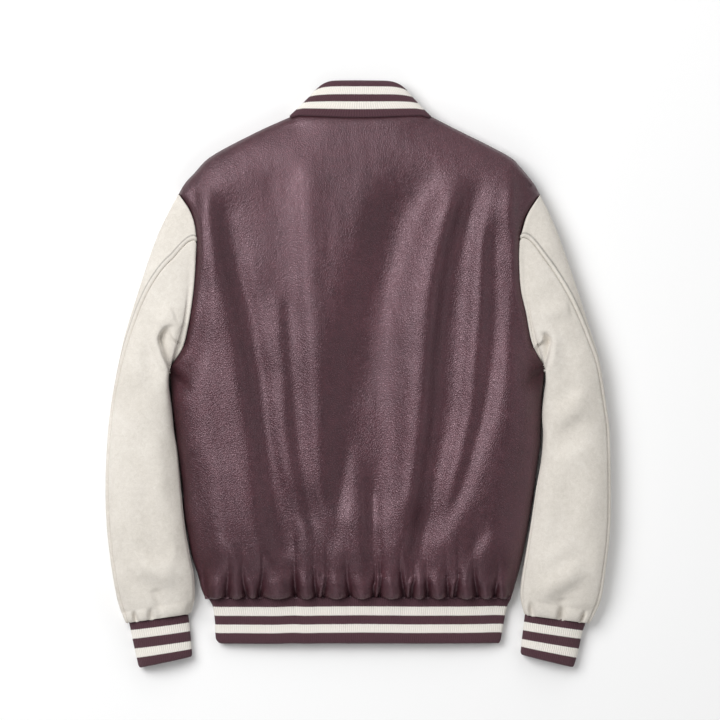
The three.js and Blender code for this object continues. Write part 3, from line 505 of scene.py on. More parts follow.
def rib_material(name, bright=1.0):
    """Rib knit striped across: UV x is metres round the band, UV y runs 0 at the seam to 1 at the free edge."""
    m, t, b, N, L = nodes_of(name)
    uv = N("UVMap", uv_map="UVMap").outputs[0]
    sx = N("SeparateXYZ")
    L(uv, sx.inputs[0])
    # each stitch is a small V: rows 1.7 mm, columns one rib
    wob = N("TexNoise", _Scale=700.0, _Detail=2.0)
    L(uv, wob.inputs["Vector"])
    col = math_(N, L, "MULTIPLY", sx.outputs[0], 1000 / 2.7)
    saw = math_(N, L, "PINGPONG", col, 0.5)
    row = math_(N, L, "ADD", math_(N, L, "MULTIPLY", sx.outputs[1], 30.0), math_(N, L, "MULTIPLY", saw, 0.9))
    st = math_(N, L, "PINGPONG", row, 0.5)
    rib = math_(N, L, "MULTIPLY", saw, 2.0)
    # stripes: dark, cream, dark, cream, dark, with edges stepped by the stitches
    edge = math_(N, L, "MULTIPLY_ADD", saw, 0.03)
    L(math_(N, L, "ADD", sx.outputs[1], math_(N, L, "MULTIPLY", math_(N, L, "SUBTRACT", wob.outputs["Fac"], 0.5), 0.03)), edge.node.inputs[2])
    cr = N("ValToRGB")
    cr.color_ramp.interpolation = "CONSTANT"
    d, c = (0, 0, 0), (1, 1, 1)
    ramp(cr, [(0.0, d), (0.205, c), (0.405, d), (0.605, c), (0.80, d)])
    L(edge, cr.inputs["Fac"])
    fuzz = N("TexNoise", _Scale=1500.0, _Detail=4.0, _Roughness=0.7)
    L(uv, fuzz.inputs["Vector"])
    dk, lt = N("ValToRGB"), N("ValToRGB")
    k = bright
    ramp(dk, [(0.3, lin(50 * k, 30 * k, 36 * k)), (0.7, lin(106 * k, 72 * k, 81 * k))])
    ramp(lt, [(0.3, lin(228, 221, 211)), (0.7, lin(252, 249, 243))])
    L(fuzz.outputs["Fac"], dk.inputs["Fac"])
    L(fuzz.outputs["Fac"], lt.inputs["Fac"])
    mx = N("Mix", data_type="RGBA")
    L(cr.outputs["Color"], mx.inputs["Factor"])
    L(dk.outputs["Color"], mx.inputs[6])
    L(lt.outputs["Color"], mx.inputs[7])
    # painted shade: the base colour is darkened to 0.78 in the valleys between the ribs
    rib_valley_painted_shade = N("MapRange", _From_Min=0.05, _From_Max=0.6, _To_Min=0.78, _To_Max=1.0)
    L(rib, rib_valley_painted_shade.inputs["Value"])
    sh = N("Mix", data_type="RGBA", blend_type="MULTIPLY")
    sh.inputs["Factor"].default_value = 1.0
    L(mx.outputs[2], sh.inputs[6])
    cv = N("CombineColor")
    for i in range(3):
        L(rib_valley_painted_shade.outputs[0], cv.inputs[i])
    L(cv.outputs[0], sh.inputs[7])
    L(sh.outputs[2], b.inputs["Base Color"])
    b.inputs["Roughness"].default_value = 0.9
    b.inputs["Sheen Weight"].default_value = 0.2
    b.inputs["Specular IOR Level"].default_value = 0.2
    hs = math_(N, L, "ADD", math_(N, L, "MULTIPLY", st, 1.2), math_(N, L, "MULTIPLY", fuzz.outputs["Fac"], 0.5))
    bp = N("Bump", _Strength=0.6, _Distance=0.0005)
    L(hs, bp.inputs["Height"])
    L(bp.outputs[0], b.inputs["Normal"])
    return m


def snap_material():
    m, t, b, N, L = nodes_of("snap")
    co = N("TexCoord").outputs["Object"]
    n = N("TexNoise", _Scale=260.0, _Detail=5.0, _Roughness=0.7)
    L(co, n.inputs["Vector"])
    cr = N("ValToRGB")
    ramp(cr, [(0.4, lin(70, 46, 54)), (0.6, lin(86, 60, 68))])
    L(n.outputs["Fac"], cr.inputs["Fac"])
    L(cr.outputs["Color"], b.inputs["Base Color"])
    rr = N("MapRange", _To_Min=0.22, _To_Max=0.42)
    L(n.outputs["Fac"], rr.inputs["Value"])
    L(rr.outputs[0], b.inputs["Roughness"])
    b.inputs["Metallic"].default_value = 0.6
    bp = N("Bump", _Strength=0.15, _Distance=0.0002)
    L(n.outputs["Fac"], bp.inputs["Height"])
    L(bp.outputs[0], b.inputs["Normal"])
    return m


M_LEATHER, M_WOOL, M_RIB, M_SNAP = leather_material(), wool_material(), rib_material("rib"), snap_material()


# ------------------------------------------------------------------ outlines
P_ARM = {-1: Path(ARM_L), 1: Path(ARM_R)}
P_SHO = {-1: Path(SHO_L), 1: Path(SHO_R)}
SIDE = {-1: np.array(SIDE_L, float), 1: np.array(SIDE_R, float)}
PIT = {-1: np.array(ARM_L[0], float), 1: np.array(ARM_R[0], float)}
TIP = {-1: np.array(SHO_L[0], float), 1: np.array(SHO_R[0], float)}
SPLIT = 0.55                                 # share of the body's edge below the armpit


def side_xy(side, y):
    return hermite(SIDE[side][:, 0], SIDE[side][:, 1], y)


def edge_xy(side, v, front=False):
    """The body's edge at share v from the hem to the shoulder tip: x, y."""
    v = np.asarray(v, float)
    y0 = HEM_Y + (PIT[side][1] - HEM_Y) * np.clip(v / SPLIT, 0, 1)
    low = np.stack([side_xy(side, y0), y0], -1)
    s = np.clip((v - SPLIT) / (1 - SPLIT), 0, 1)
    arm = P_ARM[side].at(s)
    if front:
        arm = arm - np.stack([side * 12 * np.sin(np.pi * s) ** 0.62, 0 * s], -1)
    return np.where((v <= SPLIT)[..., None], low, arm)


def nearest(x, y, poly):
    """Distance from each point to a polyline."""
    best = np.full(x.shape, 1e9)
    for a, b in zip(poly[:-1], poly[1:]):
        d = b - a
        t = np.clip(((x - a[0]) * d[0] + (y - a[1]) * d[1]) / (d @ d), 0, 1)
        best = np.minimum(best, np.hypot(x - a[0] - t * d[0], y - a[1] - t * d[1]))
    return best


def neck_back(c):
    c = np.asarray(c, float)
    xl, xr = SHO_L[-1][0], SHO_R[-1][0]
    x = np.where(c < 0, -xl * c, xr * c)
    a = np.abs(c)
    y = NECK_BACK + 3.6 * a ** 1.6 - 2.6 * smooth((a - 0.86) / 0.14)
    return x, y


EDGE_Z_SIDE, EDGE_Z_ARM, CROWN = 13.0, 45.0, [(-291, 23), (-283, 33), (-264, 42), (-225, 48), (-164, 51), (-99, 52.5), (0, 53), (120, 52), (234, 48), (290, 42.5), (340, 34)]
CR = np.array(CROWN, float)


def armhole_z(s):
    """Height of the armhole seam over the back: s 0 at the armpit, 1 at the shoulder tip."""
    base = 18 + 4 * s
    return base + (EDGE_Z_ARM - base) * (4 * s * (1 - s)) ** 0.45


def small_wrinkles(x, y):
    """Fine puckers of the leather, mostly upright."""
    a = noise(x / 22 + noise(x / 60, y / 60, 5) * 1.2, y / 75, 11) * 0.9
    b = noise(x / 11 + y / 60, y / 34, 12) * 0.5
    c = noise(x / 6.5, y / 9.0, 13) * 0.16
    return a + b + c


def ride(ob, node):
    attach(ob, "root")
    if node:
        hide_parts(*(node if isinstance(node, (list, tuple)) else [node]))


# ------------------------------------------------------------------ back
def build_back():
    nu, nv = 236, 196
    u = np.linspace(0, 1, nu + 1)
    # rows crowd towards the hem, where the cloth is gathered
    vv = np.linspace(0, 1, nv + 1)
    v = 0.72 * vv ** 1.0 + 0.28 * vv ** 2.2
    U, Vv = np.meshgrid(u, v, indexing="ij")
    xl, xr = side_xy(-1, HEM_Y), side_xy(1, HEM_Y)
    # top edge
    top = np.zeros((nu + 1, 2))
    k = 2 * u - 1
    for i, kk in enumerate(k):
        if abs(kk) <= 0.37:
            x, y = neck_back(kk / 0.37)
            top[i] = (x, y)
        else:
            side = int(np.sign(kk))
            top[i] = P_SHO[side].at((1 - abs(kk)) / 0.63)
    bottom = np.stack([xl + (xr - xl) * u, np.full(nu + 1, HEM_Y + 0.0)], -1)
    left, right = edge_xy(-1, v), edge_xy(1, v)
    g = ((1 - Vv)[..., None] * bottom[:, None] + Vv[..., None] * top[:, None] + (1 - U)[..., None] * left[None] + U[..., None] * right[None]
         - ((1 - U) * (1 - Vv))[..., None] * bottom[0] - (U * (1 - Vv))[..., None] * bottom[-1] - ((1 - U) * Vv)[..., None] * top[0] - (U * Vv)[..., None] * top[-1])
    x, y = g[..., 0], g[..., 1]
    # heights: side seams low, armholes high, shoulders and neck low
    zl = np.where(v <= SPLIT, EDGE_Z_SIDE - 3 * smooth((HEM_Y + 40 - left[:, 1]) / 40) + 5 * smooth((v / SPLIT - 0.85) / 0.15), armhole_z(np.clip((v - SPLIT) / (1 - SPLIT), 0, 1)))
    crown = hermite(CR[:, 0], CR[:, 1], y)
    poly_s = {s: edge_xy(s, np.linspace(0, SPLIT, 60)) for s in (-1, 1)}
    poly_a = {s: P_ARM[s].at(np.linspace(0, 1, 70)) for s in (-1, 1)}
    poly_h = {s: P_SHO[s].at(np.linspace(0, 1, 50)) for s in (-1, 1)}
    z = crown.copy()
    for s in (-1, 1):
        d = nearest(x, y, poly_s[s])
        z = np.minimum(z, EDGE_Z_SIDE + (crown - EDGE_Z_SIDE) * dome(d / 52))
        d = nearest(x, y, poly_h[s])
        z = np.minimum(z, 21 + (crown - 21) * dome(d / 58))
    # soften towards the armhole seam
    for s in (-1, 1):
        pa = poly_a[s]
        best, arm_s = np.full(x.shape, 1e9), np.zeros(x.shape)
        for i in range(len(pa) - 1):
            a, b = pa[i], pa[i + 1]
            d = b - a
            t = np.clip(((x - a[0]) * d[0] + (y - a[1]) * d[1]) / (d @ d), 0, 1)
            r = np.hypot(x - a[0] - t * d[0], y - a[1] - t * d[1])
            m = r < best
            best[m], arm_s[m] = r[m], (i + t[m]) / (len(pa) - 1)
        target = armhole_z(arm_s)
        w = 1 - smooth(best / 46)
        z = z * (1 - w) + np.minimum(z, target + (best * 0.28)) * w
        z -= 2.6 * np.exp(-(best / 3.2) ** 2) * (y > PIT[s][1] - 2)        # the seam pulls the edge down
        z += 1.0 * np.exp(-((best - 7.5) / 4.5) ** 2) * (y > PIT[s][1] + 8)
    edge_dist = np.minimum(nearest(x, y, poly_s[-1]), nearest(x, y, poly_s[1]))
    edge_dist = np.minimum(edge_dist, np.minimum(nearest(x, y, poly_h[-1]), nearest(x, y, poly_h[1])))
    from_hem = y - HEM_Y
    inside = smooth(edge_dist / 22)
    f = folds(x, y, FOLDS)
    z += f * inside * smooth(from_hem / 26)
    z += small_wrinkles(x, y) * smooth(from_hem / 20) * 0.24
    # neck seam
    nb = nearest(x, y, np.stack(neck_back(np.linspace(-1, 1, 40)), -1))
    z -= 2.2 * np.exp(-(nb / 3.5) ** 2)
    z += 0.7 * np.exp(-((nb - 8) / 4) ** 2)
    # gathers at the hem: lobes between the pleats swell over the seam and turn under
    px = np.array([-201.0] + [p[0] for p in PLEATS] + [201.0])
    depth = np.array([2.0] + [p[1] for p in PLEATS] + [2.0])
    reach = np.array([10.0] + [p[2] for p in PLEATS] + [10.0])
    lean = np.array([3.5 * np.sin(i * 2.4) for i in range(len(px))])
    fade = np.maximum(0, from_hem)
    warp = x - np.interp(x, px, lean) * smooth(fade / 34) * 1.6
    k = np.clip(np.searchsorted(px, warp) - 1, 0, len(px) - 2)
    cell = np.clip((warp - px[k]) / (px[k + 1] - px[k]), 0, 1)
    width = px[k + 1] - px[k]
    dd = np.where(cell < 0.5, depth[k], depth[k + 1])
    rr = np.where(cell < 0.5, reach[k], reach[k + 1])
    near = np.minimum(cell, 1 - cell) * width
    cut = np.exp(-(near / (2.0 + fade * 0.11)) ** 1.5)
    bulge = (1 - np.abs(2 * cell - 1) ** 2.0) ** 0.95
    lobe = np.clip(bulge * (0.45 + 0.55 * smooth(width / 24)), 0.03, 1)
    far = np.exp(-(fade / (13 + 0.6 * np.minimum(width, 40))) ** 1.5)
    z += np.minimum(15, 3.4 + 0.38 * width) * (bulge - 0.72) * far * (1 + 0.35 * noise(k * 1.7 + 0.3, k * 0.0 + 0.5, 81)) * smooth(edge_dist / 10) * smooth(fade / 2 + 0.5)
    z -= 1.3 * dd * cut * np.exp(-(fade / (0.65 * rr)) ** 1.5) * smooth(edge_dist / 8) * smooth(fade / 2.5 + 0.4)
    z += 2.6 * np.exp(-((fade - 11) / 11) ** 2) * smooth(edge_dist / 14) - 1.6 * np.exp(-((fade - 36) / 15) ** 2) * smooth(edge_dist / 20)
    # roll the lowest rows under
    turn = np.clip(1 - from_hem / 12.0, 0, 1)
    roll = np.sin(turn * np.pi / 2)
    y2 = y - (lobe * 8.6 - 1.0) * np.sin(turn * np.pi) ** 1.3 * 0.9 - 0.6 * turn
    z2 = z - (z - 20.5) * np.clip(1 - np.sqrt(np.maximum(0, 1 - turn ** 2)), 0, 1)
    g3 = np.stack([x, y2, z2], -1)
    uv = np.stack([lengths(g3, 0) / 1000, lengths(g3, 1) / 1000], -1)
    ob, o = shell("jacket_back", g3, 1, LEATHER, M_LEATHER, uv)
    ride(ob, "back")
    return ob


# ------------------------------------------------------------------ fronts
def edge_low(z, away):
    return z * (1 - dome(away / 34))


def lap_lift(x, thick, side):
    return np.where(side < 0, CAP_PROUD * smooth((70 - np.abs(x)) / 36), (CAP_PROUD + thick + 1.0) * smooth((76 - x) / 40))


def neck_front(q, nx=NECK_X):
    y = NECK_Y - (NECK_Y - NECK_FRONT) * np.sin(q * np.pi / 2) ** 1.15
    return nx * np.cos(q * np.pi / 2), y


def build_front(side):
    nu, nv = 84, 118
    u, v = np.linspace(0, 1, nu + 1), np.linspace(0, 1, nv + 1)
    U, Vv = np.meshgrid(u, v, indexing="ij")
    over = -side * PLACKET
    nx = abs((SHO_L if side < 0 else SHO_R)[-1][0])
    top = P_SHO[side].at(u)
    xs = side_xy(side, HEM_Y)
    bottom = np.stack([xs + (over - xs) * u, np.full(nu + 1, HEM_Y + GAP)], -1)
    left = edge_xy(side, v, front=True)
    # inner edge: placket, lap corner, neckline
    cut = 0.62
    right = np.zeros((nv + 1, 2))
    for j, vj in enumerate(v):
        if vj <= cut:
            right[j] = (over, HEM_Y + GAP + (NECK_FRONT - HEM_Y) * vj / cut)
        elif vj <= cut + 0.03:
            right[j] = (over * (1 - (vj - cut) / 0.03), NECK_FRONT)
        else:
            q = 1 - (vj - cut - 0.03) / (1 - cut - 0.03)
            a, b = neck_front(q, nx)
            right[j] = (side * a, b)
    right[-1] = top[-1]
    g = ((1 - Vv)[..., None] * bottom[:, None] + Vv[..., None] * top[:, None] + (1 - U)[..., None] * left[None] + U[..., None] * right[None]
         - ((1 - U) * (1 - Vv))[..., None] * bottom[0] - (U * (1 - Vv))[..., None] * bottom[-1] - ((1 - U) * Vv)[..., None] * top[0] - (U * Vv)[..., None] * top[-1])
    x, y = g[..., 0], g[..., 1]
    z = np.zeros_like(x)
    d_side = nearest(x, y, edge_xy(side, np.linspace(0, SPLIT, 60)))
    d_sho = nearest(x, y, P_SHO[side].at(np.linspace(0, 1, 50)))
    d_arm = nearest(x, y, edge_xy(side, np.linspace(SPLIT, 1, 60), front=True))
    z = np.maximum(edge_low(EDGE_Z_SIDE - 1.2, d_side), edge_low(20.0, d_sho))
    z = np.where(d_arm < d_side, np.minimum(z, edge_low(20, np.minimum(d_sho, d_side))), z)
    z += lap_lift(x, LEATHER, side)
    inner = smooth(np.minimum(d_side, d_sho) / 20) * smooth((y - HEM_Y) / 30) * smooth((np.abs(x) - 22) / 18)
    z += np.maximum(0, folds(x, y, FOLDS_FRONT)) * inner
    z += np.maximum(0, noise(x / 26, y / 60, 41 + side)) * 0.7 * inner
    z += 1.4 * np.exp(-((y - HEM_Y) / 5) ** 2) * smooth((np.abs(x) - 22) / 8)
    z = np.maximum(z, 0)
    g3 = np.stack([x, y, z], -1)
    uv = np.stack([lengths(g3, 0) / 1000, lengths(g3, 1) / 1000], -1)
    ob, o = shell("jacket_front_" + ("left" if side < 0 else "right"), g3, side, LEATHER, M_LEATHER, uv)
    ride(ob, "front_left" if side < 0 else "front_right")
    return ob


# ------------------------------------------------------------------ sleeves
def ring_share(t):
    return (1 - np.cos(np.pi * t)) / 2


def table_at(rows, n):
    T = np.array(rows, float)
    k = np.linspace(0, 1, len(T))
    return [hermite(k, T[:, i], n) for i in range(T.shape[1])]


def ring_points(rows, n, t, bow_front=0.0, power=1.3):
    """Points of the flattened rings at share n down the tube and t round it: 0 outer edge, 1 inner edge over the back, 2 outer edge again."""
    ox, oy, ix, iy, high, oz, iz = table_at(rows, n)[:7]
    bow = table_at(rows, n)[7] if len(rows[0]) > 7 else 0 * n
    t = np.mod(t, 2)
    under = t > 1
    q = np.where(under, 2 - t, t)
    s = ring_share(q)
    swell = np.clip(4 * s * (1 - s), 0, 1)
    dx, dy = ix - ox, iy - oy
    L = np.hypot(dx, dy)
    b = np.where(under, bow + bow_front, bow) * np.sin(np.pi * s) ** power
    sg = np.sign(ox)
    edge = oz + (iz - oz) * s
    z = np.where(under, edge * (1 - swell ** 0.3), edge + (high - edge) * swell ** 0.44)
    x = ox + dx * s + sg * b * dy / L
    y = oy + dy * s - sg * b * dx / L
    return np.stack([x, y, z], -1)


def build_sleeve(side):
    rows = SLV_L if side < 0 else SLV_R
    seam = np.array(SEAM_L if side < 0 else SEAM_R, float)
    seam[:, 0] /= len(rows) - 1
    fold_rows = FOLDS_SL if side < 0 else FOLDS_SR
    hand = "left" if side < 0 else "right"
    arm_poly = P_ARM[side].at(np.linspace(0, 1, 90))

    def armhole_xy(t):
        """The armhole edge at ring share t: the measured seam over the back, cut in further under the front."""
        t = np.mod(t, 2)
        under = t > 1
        s = ring_share(np.where(under, 2 - t, t))
        p = P_ARM[side].at(1 - s)
        p = p - np.stack([np.where(under, side * 12 * np.sin(np.pi * s) ** 0.62, 0), 0 * s], -1)
        return p

    def surface(n, t):
        p = ring_points(rows, n, t, bow_front=12 * (1 - smooth(n / 0.3)))
        # the first ring lies along the armhole
        k = (1 - smooth(n / 0.1))[..., None]
        a = armhole_xy(t)
        s_up = 1 - ring_share(np.where(np.mod(t, 2) > 1, 2 - np.mod(t, 2), np.mod(t, 2)))
        az = np.where(np.mod(t, 2) > 1, p[..., 2], armhole_z(s_up))
        target = np.concatenate([a, az[..., None]], -1)
        p = p * (1 - k) + target * k
        return p

    ring0 = surface(np.zeros(400), np.linspace(0, 2, 400))

    def shape(n, t):
        p = surface(n, t)
        x, y = p[..., 0].copy(), p[..., 1].copy()
        tt = np.mod(t, 2)
        over = smooth(np.sin(np.pi * np.clip(tt, 0, 1)) * 2.2) * (tt <= 1)
        f = folds(x, y, fold_rows) + pocket(x, y, *POCKET[side])
        w = noise(x / 30 + 9 * side, y / 42, 31) * 1.1 + noise(x / 13, y / 19, 32) * 0.5
        p[..., 2] += (f + w * smooth(n / 0.04)) * over
        # shallow creases on the hidden side
        lowf = np.maximum(0, noise(x / 34, y / 46 + 5, 33)) * 2.0 * (tt > 1) * smooth(np.sin(np.pi * np.clip(2 - tt, 0, 1)) * 2)
        p[..., 2] += lowf * smooth((n) / 0.05) * smooth((1 - n) / 0.05)
        # seam at the armhole: the wool dips to it
        d0 = n * 560
        p[..., 2] -= 2.0 * np.exp(-(d0 / 4.0) ** 2) * over
        p[..., 2] += 1.2 * np.exp(-((d0 - 12) / 8.0) ** 2) * over
        # gathered end over the cuff: lobes swell and turn under
        c = np.clip((n - 0.93) / 0.07, 0, 1)
        s = ring_share(np.clip(tt, 0, 1))
        lob = np.ones_like(s)
        for at, wide in ENDS[side]:
            lob *= 1 - np.exp(-((s - at) / wide) ** 2)
        grow = np.sin(c * np.pi) ** 0.8
        p[..., 1] -= (smooth(c) * 4.6 + grow * (3.4 * lob - 0.4)) * over + smooth(c) * 3.2 * (1 - over)
        p[..., 2] += (grow * (4.4 * lob - 2.4) - 2.2 * (1 - lob) * smooth(c * 1.6)) * over
        p[..., 2] = np.maximum(p[..., 2], 0)
        return p

    parts = {}
    for part in ("under", "top"):
        nt, nn = (104, 180) if part == "under" else (140, 188)
        n = np.linspace(0, 1, nn + 1)
        a = hermite(seam[:, 0], seam[:, 1], n)
        b = hermite(seam[:, 0], seam[:, 2], n)
        t0, t1 = (a, b) if part == "under" else (b, 2 + a)
        # columns crowd at both seams
        m = 18
        b01 = np.concatenate([np.linspace(0, 0.07, m, endpoint=False), np.linspace(0.07, 0.93, nt + 1 - 2 * m), 1 - np.linspace(0, 0.07, m, endpoint=False)[::-1]])
        T = t0[None] + (t1 - t0)[None] * b01[:, None]
        Nn = np.broadcast_to(n[None], T.shape).copy()
        P = shape(Nn, T)
        e = 0.004
        dt = shape(Nn, T + e) - shape(Nn, T - e)
        dn = shape(np.clip(Nn + e, 0, 1), T) - shape(np.clip(Nn - e, 0, 1), T)
        nor = np.cross(dt, dn)
        nor /= np.maximum(np.linalg.norm(nor, axis=-1, keepdims=True), 1e-9)
        # close the seam to a fine line, its edges turned down
        w = lengths(P, 0)
        tot = w[-1:]
        d = np.minimum(w, tot - w)
        relief = -1.0 * np.exp(-(d / 1.5) ** 2) + 0.35 * np.exp(-((d - 4) / 3.0) ** 2)
        if part == "top":
            relief += 0.8 * smooth(1 - (tot - w - 6.6) / 1.6) * smooth((tot - w) / 1.2)
            relief -= 0.7 * np.exp(-((tot - w - 6.2) / 0.9) ** 2)
        # draw both edges in by half the seam gap
        shrink = np.where(b01[:, None] < 0.5, 1, -1) * GAP * 0.5 * np.exp(-(d / 3) ** 2)
        tan = dt / np.maximum(np.linalg.norm(dt, axis=-1, keepdims=True), 1e-9)
        P = P + tan * shrink[..., None]
        P[..., 0] += side * 0.35 * np.exp(-(Nn * 560 / 6) ** 2)
        uv = np.stack([w / 1000, lengths(P, 1) / 1000], -1)
        ob, o = shell("jacket_sleeve_%s_%s" % (hand, part), P, side, WOOL, M_WOOL, uv, relief=relief, normal=nor,
                      extra={"seam": (tot - w) / 1000 if part == "top" else np.ones_like(w), "run": lengths(P, 1) / 1000})
        ride(ob, "sleeve_%s_%s" % (hand, part))
        parts[part] = (P, nor, w, tot)
    return parts


# ------------------------------------------------------------------ rib knit
PITCH = 2.7


def rib_relief(arc, total, amp=0.42):
    k = round(total / PITCH)
    ph = arc / total * k * 2 * np.pi
    return amp * (np.abs(np.cos(ph / 2)) ** 0.8 * 2 - 1.1)


def build_cuff(side):
    rows = CUF_L if side < 0 else CUF_R
    hand = "left" if side < 0 else "right"
    nt, nn = 420, 26
    t = np.linspace(0, 2, nt, endpoint=False)
    # equal steps round the mid ring
    fine = ring_points(rows, np.full(2001, 0.5), np.linspace(0, 2, 2001))
    s = np.concatenate([[0], np.cumsum(np.linalg.norm(np.diff(fine, axis=0), axis=1))])
    total = s[-1]
    t = np.interp(np.linspace(0, total, nt, endpoint=False), s, np.linspace(0, 2, 2001))
    n = np.linspace(0, 1, nn + 1)
    T, Nn = np.meshgrid(t, n, indexing="ij")
    P = ring_points(rows, Nn, T)
    arc = np.broadcast_to(np.linspace(0, total, nt, endpoint=False)[:, None], T.shape)
    wave = 0.5 * noise(arc / 16, Nn * 2.5, 51 + side) + 0.8 * np.exp(-(Nn / 0.12) ** 2) * noise(arc / 7, Nn * 0, 52)
    relief = rib_relief(arc, total) * (0.7 + 0.3 * smooth(Nn / 0.1)) + wave * (T <= 1)
    # rounded free edge
    relief -= 0.9 * smooth((Nn - 0.93) / 0.07) ** 2
    uv = np.stack([arc / total * round(total / PITCH) * PITCH / 1000, Nn], -1)
    ob, o = shell("jacket_cuff_" + hand, P, side, RIB, M_RIB, uv, loop=True, relief=relief)
    ride(ob, "cuff_" + hand)
    return ob


def build_band():
    T = np.array(BAND, float)
    nn = 26
    n = np.linspace(0, 1, nn + 1)
    key = np.array([0, 0.2, 0.58, 0.93, 1.0])
    yy, xl, xr, hi = (hermite(key, T[:, i], n) for i in range(4))
    side_z = 8.8
    m = 2400
    w = np.linspace(0, 1, m)

    def point(w, j):
        half_l, half_r = -xl[j], xr[j]
        z = np.zeros_like(w)
        x = np.zeros_like(w)
        a = w < 0.25
        ph = np.sin(w[a] / 0.25 * np.pi / 2)
        x[a] = (PLACKET - 1) + (-half_l - (PLACKET - 1)) * ph
        z[a] = np.where(x[a] < 0, side_z * (1 - dome((half_l + x[a]) / 15)), 0) + lap_lift(x[a], RIB, -1)
        c = w > 0.75
        ph = np.sin((1 - w[c]) / 0.25 * np.pi / 2)
        x[c] = -(PLACKET - 1) + (half_r + (PLACKET - 1)) * ph
        z[c] = np.where(x[c] > 0, side_z * (1 - dome((half_r - x[c]) / 15)), 0) + lap_lift(x[c], RIB, 1)
        b = ~a & ~c
        an = (w[b] - 0.25) / 0.5 * np.pi
        cc = np.cos(an)
        mid, hw = (half_r - half_l) / 2, (half_r + half_l) / 2
        x[b] = mid - hw * np.sign(cc) * np.abs(cc) ** 0.9
        z[b] = side_z + (hi[j] - side_z) * np.sin(an) ** 0.55
        return np.stack([x, np.full_like(w, yy[j]), z], -1)

    mid = point(w, nn // 2)
    s = np.concatenate([[0], np.cumsum(np.linalg.norm(np.diff(mid, axis=0), axis=1))])
    total = s[-1]
    cols = 1380
    arc1 = np.linspace(0, total, cols)
    ws = np.interp(arc1, s, w)
    g = np.stack([point(ws, j) for j in range(nn + 1)], axis=1)
    arc = np.broadcast_to(arc1[:, None], g.shape[:2])
    Nn = np.broadcast_to(n[None], g.shape[:2])
    top = (ws > 0.27) & (ws < 0.73)
    topm = np.broadcast_to(top[:, None], g.shape[:2]).astype(float)
    # the stripes wander slightly, and the gathers above pucker the band's first rows
    g[..., 1] += topm * (0.9 * noise(g[..., 0] / 60, g[..., 0] * 0, 61) + 0.5 * noise(g[..., 0] / 22, g[..., 0] * 0, 62))
    pucker = np.zeros(g.shape[:2])
    for px, depth, reach in PLEATS:
        pucker -= 0.28 * depth * np.exp(-((g[..., 0] - px) / 4.5) ** 2)
    relief = rib_relief(arc, total) + topm * (pucker * np.exp(-(Nn / 0.45) ** 2) + 0.7 * noise(g[..., 0] / 26, Nn * 1.5, 63))
    relief -= 0.9 * smooth((Nn - 0.93) / 0.07) ** 2
    uv = np.stack([arc / total * round(total / PITCH) * PITCH / 1000, Nn], -1)
    ob, o = shell("jacket_waistband", g, -1, RIB, M_RIB, uv, relief=relief)
    ride(ob, "waistband")
    return ob


def build_collar():
    # levels: y of the side fold, middle of the back, front dip; half width left and right; height
    LV = np.array([
        # n,   xl,   xr,  side,  back, front, high, side z
        (0.00, 88.5, 94.5, 335.6, 334.0, 254.8, 34, 21),
        (0.33, 73.0, 80.0, 349.0, 350.5, 271, 33, 18),
        (0.60, 62.0, 70.0, 359.5, 363.5, 284, 31, 16),
        (0.85, 54.0, 62.0, 369.5, 376.5, 296, 29.5, 15),
        (1.00, 47.0, 55.0, 375.0, 382.0, 301, 27, 14)], float)
    nn = 26
    n = np.linspace(0, 1, nn + 1)
    xl, xr, sd, bk, fr, hi, sz = (hermite(LV[:, 0], LV[:, i], n) for i in range(1, 8))
    m = 2400
    w = np.linspace(0, 1, m)

    def point(w, j):
        q = np.where(w < 0.5, w, 1 - w)
        left = w < 0.5
        hx = np.where(left, xl[j], xr[j])
        sgn = np.where(left, -1.0, 1.0)
        a = np.clip(q / 0.27, 0, 1)
        xf = np.maximum(1.2, hx * np.sin(a * np.pi / 2))
        yf = sd[j] - (sd[j] - fr[j]) * np.cos(a * np.pi / 2) ** 1.15
        zf = np.maximum(edge_low(sz[j], 0.9 * (sd[j] - yf)), lap_lift(sgn * xf, LEATHER, np.where(left, -1, 1)))
        b = np.clip((q - 0.27) / 0.23, 0, 1)
        c = np.cos(b * np.pi / 2)
        seam_y = neck_back(c)[1] + 0.9
        top_y = sd[j] + (bk[j] - sd[j]) * (1 - c ** (4.0 + 5 * n[j] ** 2))
        k = (1 - n[j]) ** 3
        yb = top_y + (seam_y - sd[0] - (bk[0] - sd[0]) * (1 - c ** 4)) * k
        zb = sz[j] + (hi[j] - sz[j]) * np.sin(b * np.pi / 2) ** 0.7
        front = q < 0.27
        return np.stack([sgn * np.where(front, xf, hx * c), np.where(front, yf, yb), np.where(front, zf, zb)], -1)

    mid = point(w, nn // 2)
    s = np.concatenate([[0], np.cumsum(np.linalg.norm(np.diff(mid, axis=0), axis=1))])
    total = s[-1]
    cols = 640
    arc1 = np.linspace(0, total, cols)
    ws = np.interp(arc1, s, w)
    g = np.stack([point(ws, j) for j in range(nn + 1)], axis=1)
    arc = np.broadcast_to(arc1[:, None], g.shape[:2])
    Nn = np.broadcast_to(n[None], g.shape[:2])
    relief = rib_relief(arc, total) + 0.5 * noise(arc / 24, Nn * 2, 71) + 1.6 * np.exp(-((Nn - 0.55) / 0.4) ** 2)
    relief -= 1.2 * smooth((Nn - 0.92) / 0.08) ** 2
    uv = np.stack([arc / total * round(total / PITCH) * PITCH / 1000, Nn], -1)
    ob, o = shell("jacket_collar", g, 1, RIB, M_RIB, uv, relief=relief)
    ride(ob, "collar")
    return ob


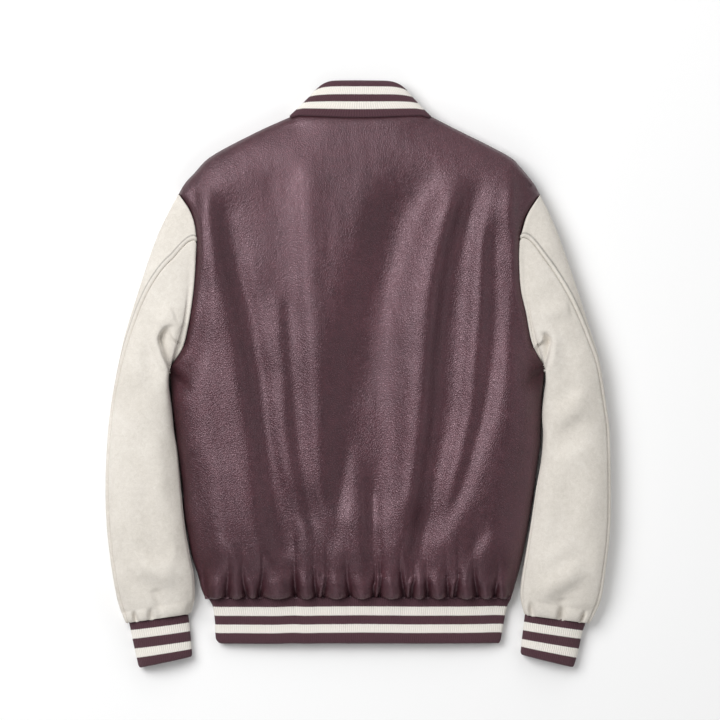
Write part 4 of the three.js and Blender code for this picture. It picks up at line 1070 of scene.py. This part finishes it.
build_back()
for side in (-1, 1):
    build_front(side)
    build_sleeve(side)
    build_cuff(side)
build_band()
build_collar()
for i in range(1, 8):
    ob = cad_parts["snap_%d" % i]
    for s_ in ob.material_slots:
        s_.material = M_SNAP

# ------------------------------------------------------------------ floor, light, camera
def floor():
    me = bpy.data.meshes.new("floor")
    r, z = 6.0, -0.0002
    me.from_pydata([(-r, -r, z), (r, -r, z), (r, r, z), (-r, r, z)], [], [(0, 1, 2, 3)])
    m, t, b, N, L = nodes_of("floor")
    b.inputs["Base Color"].default_value = (0.95, 0.95, 0.95, 1)
    b.inputs["Roughness"].default_value = 0.9
    b.inputs["Specular IOR Level"].default_value = 0.1
    me.materials.append(m)
    ob = bpy.data.objects.new("floor", me)
    bpy.context.scene.collection.objects.link(ob)


floor()


def area(name, loc, target, size, power, color=(1, 1, 1)):
    d = bpy.data.lights.new(name, "AREA")
    d.shape, d.size, d.energy, d.color = "SQUARE", size, power, color
    ob = bpy.data.objects.new(name, d)
    ob.location = loc
    ob.rotation_mode = "QUATERNION"
    ob.rotation_quaternion = (Vector(target) - Vector(loc)).to_track_quat("-Z", "Y")
    bpy.context.scene.collection.objects.link(ob)


area("key", (-1.75, 1.25, 2.9), (0, 0, 0), 2.4, 117)
area("side", (3.0, 0.2, 1.9), (0, 0, 0), 2.4, 18)
area("foot", (-0.3, -3.0, 1.9), (0, 0, 0), 2.4, 22)
area("head", (0.8, 3.1, 1.9), (0, 0, 0), 2.4, 22)
world = bpy.data.worlds.new("world")
bpy.context.scene.world = world
world.use_nodes = True
world.node_tree.nodes["Background"].inputs[0].default_value = (1, 1, 1, 1)
world.node_tree.nodes["Background"].inputs[1].default_value = 0.22

lo, hi = cad_box
cam = bpy.data.cameras.new("camera")
cam.sensor_width = 36
dist = 8.0
cam.lens = 36 * (dist - 0.03) / 0.936
cam.clip_start, cam.clip_end = 0.1, 100
co = bpy.data.objects.new("camera", cam)
co.location = ((lo[0] + hi[0]) / 2 + 0.0026, (lo[1] + hi[1]) / 2 + 0.0182, dist)
bpy.context.scene.collection.objects.link(co)
bpy.context.scene.camera = co
bpy.context.scene.view_settings.view_transform = "Standard"
bpy.context.scene.view_settings.look = "None"
